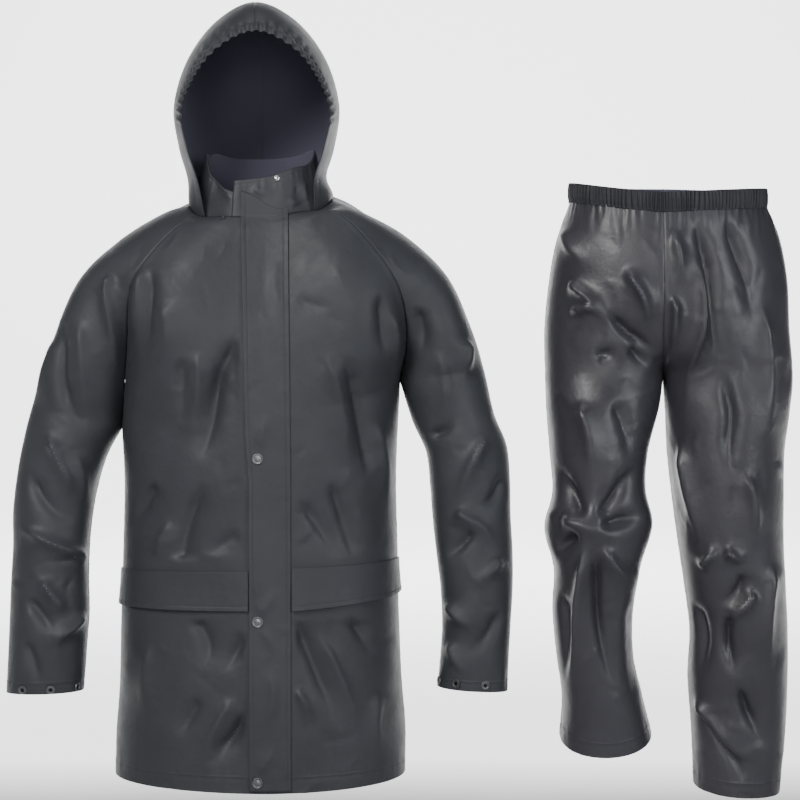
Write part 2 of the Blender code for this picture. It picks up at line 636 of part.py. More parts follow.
def add_back():
    """Both halves of the back in one grid, wearer's right seam to left seam."""
    rows = body_rows()
    u, t = np.meshgrid(even(BACK_COLUMNS), rows)
    halves = []
    for side, out in SIDES.items():
        skins = folded(body_half(side, "back"), rows[-1], out, 1.0)(u, t)
        skins = [drawn_in(points, [(1, "last")]) for points in skins]
        for points in skins:
            points[:, -1, 0] -= out * SEAM / 2
        halves.append(skins)
    right, left = halves
    outer, inner = (np.concatenate([right[skin][:, ::-1], left[skin][:, 1:]], axis=1) for skin in (0, 1))
    add_wall("back", outer, inner, "jacket cloth")


def add_sleeves():
    """Each sleeve is one piece: front half, then back half, meeting under the arm."""
    rows = sleeve_rows()
    u, t = np.meshgrid(even(SLEEVE_COLUMNS), rows)
    for side, out in SIDES.items():
        halves = []
        for face, forward in FACES.items():
            skins = folded(sleeve_half(side, face), rows[-1], forward * out, 0.0)(u, t)
            skins = [drawn_in(points, [(1, "first")]) for points in skins]
            for points in skins:
                points[:, 0, 0] += out * SEAM / 2
            halves.append(skins)
        front, back = halves
        outer, inner = (np.concatenate([front[skin], back[skin][:, -2::-1]], axis=1) for skin in (0, 1))
        add_wall(f"sleeve_{side}", outer, inner, "jacket cloth")


def hood_rows():
    """Rows of the hood: plain at the cheek, then one at each ridge and trough of the gathers."""
    start = HOOD_GATHER_START * HOOD_ROWS
    plain = np.linspace(0.0, start, 7)
    drawn = np.linspace(start, HOOD_ROWS, 2 * HOOD_GATHERS + 1)
    wave = np.concatenate([np.zeros(6), np.resize([-1.0, 1.0], 2 * HOOD_GATHERS + 1)])
    return np.concatenate([plain[:-1], drawn]), wave


def hood_columns(side):
    """Columns of the hood, one of them at the back raglan seam's end."""
    front, back = ring_corners(side)
    corner = (back - front) / (1.0 - front)
    return np.concatenate([corner * even(HOOD_FRONT_COLUMNS),
                           corner + (1.0 - corner) * even(HOOD_BACK_COLUMNS)[1:]])


def add_hood():
    rows, wave = hood_rows()
    for side, out in SIDES.items():
        u, t = np.meshgrid(hood_columns(side), rows)
        surface = hood_half(side)
        points = surface(u, t)
        normal = slopes(surface, np.minimum(u, 0.9), np.minimum(t, 0.97 * HOOD_ROWS), rows[-1]) * out
        beside = np.clip(np.abs(points[..., 0] - points[:, -1:, 0]) / HOOD_RIDGE, 0.0, 1.0)
        away = points - np.array(HOOD_CENTRE)
        away /= np.linalg.norm(away, axis=-1, keepdims=True)
        normal = normal * beside[..., None] + away * (1.0 - beside)[..., None]
        normal[..., 0] *= beside
        normal /= np.linalg.norm(normal, axis=-1, keepdims=True)
        fade = 1.0 - soft_step(u / HOOD_GATHER_REACH)
        outer = points + normal * (fade * wave[:, None] * HOOD_GATHER_DEPTH)[..., None]
        outer[:, -1, 0] += out * SEAM / 2
        outer[-1, :-1, 0] += out * SEAM / 2
        add_wall(f"hood_{side}", outer, outer - normal * WALL, "jacket cloth")


def collar_point(station, up):
    """A point of the collar: station along its table, up from 0 at the seam to 1 at its top edge."""
    row = at(COLLAR, station)
    share = row["share_turn"]
    right = neck_ring("right", np.clip(2 * share, 0.0, 1.0))
    left = neck_ring("left", np.clip(2 * (1.0 - share), 0.0, 1.0))
    under = neck_ring("left", np.clip(-2 * share, 0.0, 1.0))
    over = neck_ring("right", np.clip(2 * (share - 1.0), 0.0, 1.0))
    past_start = (share < 0)[..., None]
    past_end = (share > 1)[..., None]
    half = (share > 0.5)[..., None]
    ring = np.where(past_start, under, np.where(past_end, over, np.where(half, left, right)))
    centre = np.array([0.0, 0.0, 0.0])
    inward = centre - ring
    inward[..., 2] = 0.0
    inward /= np.linalg.norm(inward, axis=-1, keepdims=True)
    move = row["inset"] + row["lean"] * up
    height = NECK_LIFT + row["height"] * up
    return ring + inward * move[..., None] + vector(0.0, 0.0, height), inward


def add_collar():
    stations, up = np.meshgrid(np.linspace(0, len(COLLAR["height"]) - 1, 30), np.linspace(1, 0, 4))
    outer, inward = collar_point(stations, up)
    add_wall("collar", outer, outer + inward * WALL, "jacket cloth")


def share_showing(surface, out, x, t):
    """Share u of a row at which it shows at x; the row runs outwards, the way out points."""
    low = np.zeros_like(x)
    high = np.ones_like(x)
    for _ in range(24):
        half = (low + high) / 2
        beyond = out * (shown(surface(half, t))[0] - x) > 0
        high = np.where(beyond, half, high)
        low = np.where(beyond, low, half)
    return low


def front_point(x, t, lift):
    """Point of the jacket's smooth front that shows at x in row t, lifted off the cloth."""
    found = np.zeros(x.shape + (3,))
    normals = np.zeros_like(found)
    last = len(FRONT_MIDDLE["x"]) - 1
    for side, out in SIDES.items():
        base = body_half(side, "front")
        u = share_showing(base, out, x, t)
        here = (out * (x - FRONT_MIDDLE["x"][0]) >= 0)[..., None]
        normals = np.where(here, slopes(base, u, t, last) * -out, normals)
        found = np.where(here, base(u, t), found)
    return found + normals * lift[..., None], normals


def row_at_height(z):
    """Row of the jacket's front whose middle shows at z."""
    fine = np.linspace(0, len(FRONT_MIDDLE["z"]) - 1, 400)
    return np.interp(-z, -through(FRONT_MIDDLE["z"], fine), fine)


def flap_belly(share):
    """How much further the storm flap stands off between its edges."""
    return FLAP_BELLY * soft_step(np.minimum(share, 1 - share) * 3)


def add_storm_flap():
    """The flap lies on both fronts and stands over the neck seam; its top edge falls to the left."""
    middle = (FRONT_MIDDLE["x"][0] - FLAP_LEFT_X) / (FLAP_RIGHT_X - FLAP_LEFT_X)
    across = np.array([0.0, middle / 2, middle, (middle + 1) / 2, 1.0])
    foot = row_at_height(FLAP_FOOT_Z)
    rows = body_rows()
    rows = np.concatenate([[-1.0, -0.5], rows[rows < foot - 0.1], [foot]])
    share, row = np.meshgrid(across, rows)
    x = FLAP_LEFT_X + (FLAP_RIGHT_X - FLAP_LEFT_X) * share
    lift = FLAP_LIFT + FLAP_WALL + flap_belly(share)
    outer, normal = front_point(x, np.maximum(row, 0.0), lift)
    rise = FLAP_LEFT_RISE + (FLAP_RIGHT_RISE - FLAP_LEFT_RISE) * share
    above = np.clip(-row, 0.0, 1.0) * rise
    outer = outer + vector(0.0, -0.02 * above, above)
    add_wall("storm_flap", outer, outer - normal * FLAP_WALL, "jacket cloth")


def add_pocket_flaps():
    """Each flap is made from its front's own columns, from the storm flap to the side seam."""
    for side, out in SIDES.items():
        sizes = POCKET_FLAP[side]
        base = body_half(side, "front")
        last = len(FRONT_MIDDLE["x"]) - 1
        seam_x = (FLAP_LEFT_X if side == "right" else FLAP_RIGHT_X) + out * FLAP_SIDE_GAP
        middle_row = row_at_height(np.array([POCKET_FLAP_Z]))
        first = share_showing(base, out, np.array([seam_x]), middle_row)[0]
        columns = front_columns(side)
        columns = np.concatenate([[first], columns[2:]])
        u, down = np.meshgrid(columns, np.linspace(0.0, 1.0, 3))
        top = sizes["inner_top"] + (sizes["outer_top"] - sizes["inner_top"]) * u
        foot = sizes["inner_foot"] + (sizes["outer_foot"] - sizes["inner_foot"]) * u
        row = row_at_height(top + (foot - top) * down)
        normal = slopes(base, u, row, last) * -out
        lift = FLAP_LIFT + FLAP_WALL + POCKET_FLAP_LIFT * down
        outer = base(u, row) + normal * lift[..., None]
        add_wall(f"pocket_flap_{side}", outer, outer - normal * FLAP_WALL, "jacket cloth")


def add_snap(name, point, normal, radius, height, finish):
    """A low domed cap with a dished middle, its foot just off the cloth."""
    normal = np.asarray(normal) / np.linalg.norm(normal)
    side = np.cross(normal, (0.0, 0.0, 1.0))
    side /= np.linalg.norm(side)
    up = np.cross(side, normal)
    profile = ((0.88, 0.0), (1.0, 0.4), (0.75, 1.0), (0.3, 0.75))
    bm = bmesh.new()
    rings = []
    for share, lift in profile:
        ring = []
        for step in range(SNAP_SIDES):
            angle = 2 * math.pi * step / SNAP_SIDES
            spot = point + radius * share * (math.cos(angle) * side + math.sin(angle) * up)
            ring.append(bm.verts.new(spot + normal * (LIFT + height * lift)))
        rings.append(ring)
    for low, high in zip(rings, rings[1:]):
        for step in range(SNAP_SIDES):
            after = (step + 1) % SNAP_SIDES
            bm.faces.new((low[step], low[after], high[after], high[step]))
    bm.faces.new(rings[0])
    bm.faces.new(rings[-1])
    add_object(name, bm, finish)


def add_flap_snaps():
    share = (FLAP_SNAP_X - FLAP_LEFT_X) / (FLAP_RIGHT_X - FLAP_LEFT_X)
    lift = np.array([FLAP_LIFT + FLAP_WALL + flap_belly(share)])
    for number, z in enumerate(FLAP_SNAPS_Z, 1):
        point, normal = front_point(np.array([FLAP_SNAP_X]), row_at_height(np.array([z])), lift)
        add_snap(f"flap_snap_{number}", point[0], normal[0], SNAP_RADIUS, SNAP_HEIGHT, "snap metal")


def add_studs():
    """One stud closes the collar's overlap; a small one sits at the neck seam."""
    corners = ((0.0, 0.84), (-0.2, 0.84), (0.0, 0.94))
    point, beside, above = (
        collar_point(np.array([COLLAR_STUD_STATION + step]), np.array([up]))[0][0] for step, up in corners)
    normal = np.cross(beside - point, above - point)
    add_snap("collar_stud", point, normal, STUD_RADIUS, SNAP_HEIGHT, "stud metal")
    row = np.array([NECK_STUD_ROW])
    point, normal = front_point(np.array([NECK_STUD_X]), row, np.zeros(1))
    add_snap("neck_stud", point[0], normal[0], NECK_STUD_RADIUS, SNAP_HEIGHT, "stud metal")


def on_cell(shape, columns, rows, u, t):
    """Point and forward normal on the flat cell of a front panel's grid that holds u, t."""
    c = np.searchsorted(columns[1:-1], u)
    r = np.searchsorted(rows[1:-1], t)
    outer = shape(*np.meshgrid(columns[c:c + 2], rows[r:r + 2]))[0]
    across = (u - columns[c]) / (columns[c + 1] - columns[c])
    down = (t - rows[r]) / (rows[r + 1] - rows[r])
    line = outer[:, 0] + (outer[:, 1] - outer[:, 0]) * across
    normal = np.cross(outer[1, 1] - outer[0, 0], outer[1, 0] - outer[0, 1])
    return line[0] + (line[1] - line[0]) * down, normal * -np.sign(normal[1])


def add_cuff_snaps():
    """Three snaps along the front of each cuff, just over its edge."""
    rows = sleeve_rows()
    row = rows[-1] - CUFF_SNAP_ROWS_UP
    for side, out in SIDES.items():
        surface = sleeve_half(side, "front")
        shape = folded(surface, rows[-1], -out, 0.0)
        for number, x in enumerate(CUFF_SNAPS_X[side], 1):
            spot = share_showing(surface, out, np.array([x]), np.array([row]))[0]
            point, normal = on_cell(shape, even(SLEEVE_COLUMNS), rows, spot, row)
            add_snap(f"cuff_snap_{side}_{number}", point, normal, CUFF_SNAP_RADIUS, SNAP_HEIGHT,
                     "snap metal")


def add_legs():
    last = len(LEG_OUTER["right"]["x"]) - 1
    rows = np.linspace(0.0, last, LEG_STEPS + 1)
    for side, out in SIDES.items():
        for face, forward in FACES.items():
            add_panel(f"leg_{face}_{side}", leg_half(side, face), even(LEG_COLUMNS), rows, forward * out,
                      "trouser cloth", 0.0, out * SEAM / 2)


def add_waistband():
    """A ring on the legs' top edges, its outer side in a ridge and a trough for each gather."""
    fine = np.linspace(0.0, 1.0, 60)
    top = np.zeros_like(fine)
    line = np.concatenate([
        leg_half("right", "front")(fine, top), leg_half("right", "back")(fine[::-1], top),
        leg_half("left", "back")(fine, top), leg_half("left", "front")(fine[::-1], top)])
    reach = np.concatenate([[0.0], np.cumsum(np.linalg.norm(np.diff(line, axis=0), axis=1))])
    share = np.linspace(0.0, 1.0, 2 * WAIST_GATHERS, endpoint=False)
    ring = np.stack([np.interp(share * reach[-1], reach, line[:, axis]) for axis in range(3)], -1)
    middle = ring.mean(axis=0)
    out = ring - middle
    out[:, 2] = 0.0
    out /= np.linalg.norm(out, axis=1, keepdims=True)
    wave = np.resize([0.0, 1.0], len(share))[:, None] * WAIST_GATHER_DEPTH
    outer = []
    inner = []
    for level in (1.0, 0.0):
        lift = np.array([0.0, 0.0, 2 * SEAM + WAISTBAND_HEIGHT * level])
        outer.append(ring + out * wave + lift)
        inner.append(ring - out * WALL + lift)
    add_wall("waistband", np.array(outer), np.array(inner), "trouser cloth", ring=True)


def main():
    for old in list(bpy.data.objects):
        bpy.data.objects.remove(old)
    add_fronts()
    add_back()
    add_sleeves()
    add_hood()
    add_collar()
    add_storm_flap()
    add_pocket_flaps()
    add_flap_snaps()
    add_studs()
    add_cuff_snaps()
    add_legs()
    add_waistband()


main()
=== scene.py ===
# %% [markdown]
# # Coated-cloth rain suit, modelled piece by piece
#
# This lesson dresses a two-piece rain suit: a hooded jacket and a pair of trousers with an elastic
# waist. Every cut piece is a smooth surface worked out from short tables. Creases, hems, seams and
# gathers are then raised along the surface's own normals, and the cloth gets a thin second skin.
# Lengths are in metres; tables are in millimetres and turned into metres as they are read.

# %%
import json
import math

import bmesh
import bpy
import numpy as np
from mathutils import Matrix, Vector
from mathutils.bvhtree import BVHTree

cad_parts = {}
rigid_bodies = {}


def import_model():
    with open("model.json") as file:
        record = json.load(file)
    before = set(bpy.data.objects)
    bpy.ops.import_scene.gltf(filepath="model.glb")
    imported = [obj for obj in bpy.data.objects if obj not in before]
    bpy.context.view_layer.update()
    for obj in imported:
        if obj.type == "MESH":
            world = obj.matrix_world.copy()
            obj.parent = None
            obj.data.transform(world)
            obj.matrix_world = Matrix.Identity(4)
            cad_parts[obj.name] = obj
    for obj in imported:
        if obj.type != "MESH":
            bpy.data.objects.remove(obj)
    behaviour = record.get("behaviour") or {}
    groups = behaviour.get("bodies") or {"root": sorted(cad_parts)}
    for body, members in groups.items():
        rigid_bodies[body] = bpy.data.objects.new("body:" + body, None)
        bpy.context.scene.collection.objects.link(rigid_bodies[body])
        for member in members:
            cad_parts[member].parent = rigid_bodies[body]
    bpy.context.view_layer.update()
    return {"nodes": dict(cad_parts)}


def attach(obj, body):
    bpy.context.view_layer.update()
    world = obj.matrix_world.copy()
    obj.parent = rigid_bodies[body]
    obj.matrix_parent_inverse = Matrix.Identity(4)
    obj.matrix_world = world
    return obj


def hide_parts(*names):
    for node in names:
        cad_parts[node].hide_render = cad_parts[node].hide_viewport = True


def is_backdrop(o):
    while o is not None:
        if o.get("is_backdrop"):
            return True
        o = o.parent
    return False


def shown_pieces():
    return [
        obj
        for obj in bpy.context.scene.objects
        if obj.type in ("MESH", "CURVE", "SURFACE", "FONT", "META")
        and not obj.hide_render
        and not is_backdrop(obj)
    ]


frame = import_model()

# %% [markdown]
# ## Sizes
#
# The cloth is thin, and its seams are drawn close together. The eye point is where the garments
# were looked at from: table points are given as they show on the plane y = 0 from there.

# %%
MM = 0.001
WALL = 1.4 * MM
SEAM = 0.2 * MM
SEAM_LAP = 0.4 * MM
FLAP_WALL = 1.6 * MM
FLAP_LIFT = 0.9 * MM
NECK_LIFT = -1.0 * MM
EYE_X = 207.0 * MM
EYE_Z = -277.5 * MM
EYE_AWAY = 2800.0 * MM
HEM_DEPTH = 22.0 * MM
CUFF_DEPTH = 16.0 * MM
SEAM_FADE = 13.0 * MM
HOOD_BAND = 17.0 * MM
HOOD_GATHER_PITCH = 12.5 * MM
WAIST_GATHERS = 124
WAISTBAND_HEIGHT = 29.0 * MM
POINTS_A_GATHER = 12
STITCH_PITCH = 3.4 * MM
HEM_STITCH_IN = 2.4 * MM
FLAP_STITCH_IN = 6.0 * MM
POCKET_STITCH_UP = 7.0 * MM


def table(columns, *rows):
    """Named columns of a table: millimetres become metres; shares and angles stay as they are."""
    found = {}
    for place, name in enumerate(columns.split()):
        unit = 1.0 if name.endswith(("turn", "share")) else MM
        found[name] = np.array([row[place] for row in rows], float) * unit
    return found


# %% [markdown]
# ## Tables of the cut
#
# Each table runs down a line of the garment, from the neck or waist to the hem. The camera shows
# the fronts, so the lines of the back and the depths come from how such a suit is cut.

# %%
# Middle line of the jacket's front, neck seam to hem
FRONT_MIDDLE = table(
    "x z y",
    (5, -3, -86), (5, -30, -97), (5, -95, -112), (5, -155, -122), (5, -225, -128), (5, -300, -131),
    (5, -400, -130), (5, -500, -128), (5, -610, -128), (5, -710, -131), (5, -790, -133), (5, -869, -134))

# Middle line of the jacket's back, neck seam to hem
BACK_MIDDLE = table(
    "x z y",
    (8, 38, 88), (8, 12, 104), (8, -45, 118), (8, -110, 125), (8, -180, 123), (8, -275, 117),
    (8, -385, 111), (8, -480, 110), (8, -575, 113), (8, -670, 117), (8, -740, 119), (8, -815, 121))

# Raglan seams, neck to armpit: how far the body and the sleeve turn towards the back at the seam
RAGLAN = {
    ("right", "front"): table(
        "x z y body_turn sleeve_turn",
        (-85.5, -3, -62, 35, 35), (-124.5, -15, -76, 25, 25), (-172, -63, -92, 30, 28),
        (-199, -111, -88, 45, 20), (-202.5, -195, -58, 70, -35), (-209, -318, -2, 90, -90)),
    ("right", "back"): table(
        "x z y body_turn sleeve_turn",
        (-76, 30, 66, 35, 35), (-112, 6, 84, 25, 25), (-162, -54, 100, 30, 28),
        (-192, -112, 94, 45, 20), (-201, -197, 60, 70, -35), (-209, -318, -2, 90, -90)),
    ("left", "front"): table(
        "x z y body_turn sleeve_turn",
        (76.5, 6, -62, 35, 35), (114, 4, -76, 25, 25), (163, -42, -92, 30, 28),
        (205, -106, -88, 45, 20), (217, -180, -58, 70, -35), (207, -250, -2, 90, -90)),
    ("left", "back"): table(
        "x z y body_turn sleeve_turn",
        (86, 34, 66, 35, 35), (122, 14, 84, 25, 25), (168, -40, 100, 30, 28),
        (203, -104, 94, 45, 20), (214, -178, 60, 70, -35), (207, -250, -2, 90, -90)),
}

# Side seams, armpit to hem
SIDE_SEAM = {
    "right": table(
        "x z y", (-209, -318, -2), (-205, -400, 4), (-207, -500, 5), (-210, -600, 5),
        (-212, -700, 5), (-217, -770, 5), (-218, -832, 5)),
    "left": table(
        "x z y", (207, -250, -2), (201, -385, 4), (203, -490, 5), (205, -590, 5),
        (209, -690, 5), (215, -765, 5), (214, -832, 5)),
}

# Outer line of each sleeve, neck to cuff, and how far the cloth swings forward and back from it
SLEEVE_TOP = {
    "right": table(
        "x z y fore aft",
        (-108, 15, 0, 40, 42), (-147, 2, 2, 48, 52), (-213, -39, 4, 60, 66), (-273, -99, 4, 72, 78),
        (-313, -193, 2, 82, 84), (-343, -285, 0, 86, 86), (-358, -345, -4, 84, 84),
        (-367, -397, -8, 82, 82), (-372, -445, -12, 80, 80), (-372, -495, -16, 78, 78),
        (-375, -547, -21, 76, 76), (-377, -600, -26, 74, 72), (-379, -645, -30, 70, 68),
        (-381, -685, -33, 64, 62), (-382, -714, -35, 56, 56)),
    "left": table(
        "x z y fore aft",
        (106, 24, 0, 40, 42), (147, 5, 2, 48, 52), (214, -31, 4, 60, 66), (277, -91, 4, 72, 78),
        (313, -168, 2, 82, 84), (333, -232, 0, 86, 86), (348, -297, -4, 84, 84),
        (367, -345, -8, 82, 82), (372, -397, -12, 80, 80), (373, -450, -16, 78, 78),
        (376, -505, -21, 76, 76), (376, -559, -26, 74, 72), (373, -612, -30, 70, 68),
        (370, -663, -33, 64, 62), (368, -712, -35, 56, 56)),
}

# Underarm seam of each sleeve, armpit to cuff
UNDERARM = {
    "right": table(
        "x z y",
        (-209, -318, -2), (-230, -355, -4), (-244, -397, -8), (-253, -442, -12), (-258, -487, -16),
        (-260, -540, -21), (-259, -592, -26), (-262, -637, -30), (-265, -679, -33), (-268, -711, -35)),
    "left": table(
        "x z y",
        (207, -250, -2), (226, -310, -4), (246, -355, -8), (252, -405, -12), (256, -457, -16),
        (262, -511, -21), (268, -562, -26), (270, -615, -30), (267, -664, -33), (263, -705, -35)),
}

# Cloth held at the sleeve's seam: how far the row runs on from it before it bends
SLEEVE_HOLD = table(
    "fore aft",
    (26, 28), (32, 34), (42, 44), (52, 56), (66, 68), (84, 84), (84, 84), (82, 82), (80, 80),
    (78, 78), (76, 76), (74, 72), (70, 68), (64, 62), (56, 56))

# Hood, neck to top: face edge as it shows, then the side's two guide points and the centre seam.
# The last row mirrors the one before the top, so that the two halves meet level.
HOOD_FACE = table(
    "x z y",
    (-75, -3, -62), (-86, 48, -74), (-103, 102, -84), (-112, 160, -92), (-87, 218, -97),
    (-50, 257, -98), (0, 277, -98), (50, 257, -98))
HOOD_SIDE = table(
    "fore_x fore_y fore_z aft_x aft_y aft_z seam_y seam_z",
    (-112, -20, 8, -104, 80, 28, 91, 48), (-116, -20, 50, -114, 118, 62, 118, 88),
    (-130, -15, 103, -134, 150, 118, 146, 148), (-136, -20, 166, -140, 160, 188, 153, 212),
    (-116, -28, 244, -118, 150, 256, 140, 262), (-66, -45, 300, -68, 100, 318, 110, 288),
    (0, -55, 330, 0, 46, 333, 88, 303), (66, -45, 300, 68, 100, 318, 110, 288))
HOOD_ROWS = 6
HOOD_MIDDLE_X = -10.0 * MM
HOOD_CENTRE = (HOOD_MIDDLE_X, 20.0 * MM, 190.0 * MM)

# Stand-up collar, wearer's right end round the back to the left end: share of the neck ring from
# the front middle, height over the seam, lean inwards, and how far inside the seam it starts
COLLAR = table(
    "share_turn height lean inset",
    (-0.045, 32, 8, 6.2), (0.02, 33, 8, 6.2), (0.09, 40, 9, 5.8), (0.155, 60, 14, 5.6), (0.2, 78, 19, 5.6),
    (0.3, 72, 21, 6.0), (0.4, 56, 12, 5.6), (0.5, 46, 8, 5.4), (0.6, 56, 12, 5.6), (0.7, 70, 22, 6.0),
    (0.8, 74, 20, 5.6), (0.86, 70, 15, 4.6), (0.93, 66, 11, 3.8), (1.0, 60, 9, 3.2), (1.075, 54, 8, 3.2))

# Outer line of each leg, waist seam to hem, with the swing forward and back, and the front's dip
LEG_OUTER = {
    "right": table(
        "x z y fore aft dip",
        (462, 18, 0, 55, 58, 0), (441, -42, 0, 62, 68, 0), (430, -105, 0, 66, 75, 0),
        (424, -172, -2, 75, 85, 0), (425, -235, -5, 95, 105, 0), (427, -292, -10, 112, 115, 0),
        (432, -355, -17, 106, 106, 0), (436, -415, -25, 98, 96, -3), (424, -469, -30, 94, 90, -3),
        (438, -530, -27, 86, 84, 4), (436, -592, -20, 80, 80, 12), (442, -660, -11, 78, 80, 18),
        (450, -720, -2, 80, 82, 23), (447, -780, 8, 82, 84, 27)),
    "left": table(
        "x z y fore aft dip",
        (756, 9, 0, 55, 58, 0), (775, -33, 0, 62, 68, 0), (787, -97, 0, 66, 75, 0),
        (790, -169, 0, 75, 85, 0), (795, -241, 0, 95, 105, 0), (790, -292, -2, 112, 115, 0),
        (782, -355, -4, 108, 108, 0), (781, -420, -6, 102, 100, 0), (781, -487, -6, 98, 96, 0),
        (784, -555, -3, 94, 92, 0), (787, -622, 2, 90, 90, 2), (787, -690, 7, 86, 88, 4),
        (784, -765, 12, 82, 84, 6), (775, -858, 17, 80, 82, 8)),
}

# Centre seam of the trousers, waist to crotch, front and back: turn and hold of the cloth there
RISE = {
    "front": table(
        "x z y turn hold",
        (603, 4, -92, 0, 75), (604, -70, -102, 0, 86), (604, -142, -99, 6, 80),
        (603, -202, -70, 34, 74), (601, -240, -6, 90, 94)),
    "back": table(
        "x z y turn hold",
        (603, 10, 95, 0, 78), (604, -60, 110, 0, 90), (604, -130, 112, 5, 86),
        (603, -195, 82, 30, 78), (601, -240, -6, 90, 94)),
}

# Inside leg seam, crotch to hem
INSEAM = {
    "right": table(
        "x z y turn hold",
        (601, -240, -6, 90, 94), (595, -287, -10, 90, 108), (578, -355, -17, 90, 106),
        (575, -412, -25, 90, 98), (585, -465, -30, 90, 94), (567, -526, -27, 90, 86),
        (556, -595, -20, 90, 80), (557, -660, -11, 90, 78), (570, -717, -2, 90, 80),
        (583, -772, 8, 90, 82)),
    "left": table(
        "x z y turn hold",
        (601, -240, -6, 90, 94), (605, -292, -4, 90, 108), (608, -355, -4, 90, 108),
        (615, -420, -6, 90, 102), (624, -487, -6, 90, 98), (634, -555, -3, 90, 94),
        (642, -622, 2, 90, 90), (639, -690, 7, 90, 86), (644, -765, 12, 90, 82),
        (648, -851, 17, 90, 80)),
}

# Storm flap's two edges as they show, from over the neck seam to the hem
FLAP_EDGES = table(
    "z left right",
    (36, -33, 39), (0, -31.5, 39.5), (-150, -29, 40.5), (-330, -25.5, 42), (-400, -20, 42.5),
    (-610, -19, 43), (-866, -18.6, 43.5))
FLAP_LEFT_RISE = 36.0 * MM
FLAP_RIGHT_RISE = 8.0 * MM
FLAP_FOOT_Z = -866.0 * MM
FLAP_SNAPS_Z = (-365.5 * MM, -610.5 * MM, -852.0 * MM)

# Pocket flaps: heights of the top and lower edge at the storm flap and at the side
POCKET_FLAP = {
    "right": {"inner_top": -535.0 * MM, "outer_top": -530.0 * MM,
              "inner_foot": -595.0 * MM, "outer_foot": -588.0 * MM},
    "left": {"inner_top": -531.0 * MM, "outer_top": -523.0 * MM,
             "inner_foot": -597.0 * MM, "outer_foot": -578.0 * MM},
}
POCKET_FLAP_LIFT = 1.6 * MM

ARMPIT = len(SIDE_SEAM["right"]["x"]) - 2
SIDES = {"right": -1.0, "left": 1.0}
FACES = {"front": -1.0, "back": 1.0}
print("rows in the sleeve tables", len(SLEEVE_TOP["right"]["x"]), "and in the leg tables",
      len(LEG_OUTER["right"]["x"]))

# %% [markdown]
# ## Creases
#
# Every large crease is a row: four points of its path, its half width, how far it stands out
# (negative for a trough) and a skew that makes one flank steeper than the other. They are as
# uneven in length, depth and spacing as those of the real cloth.

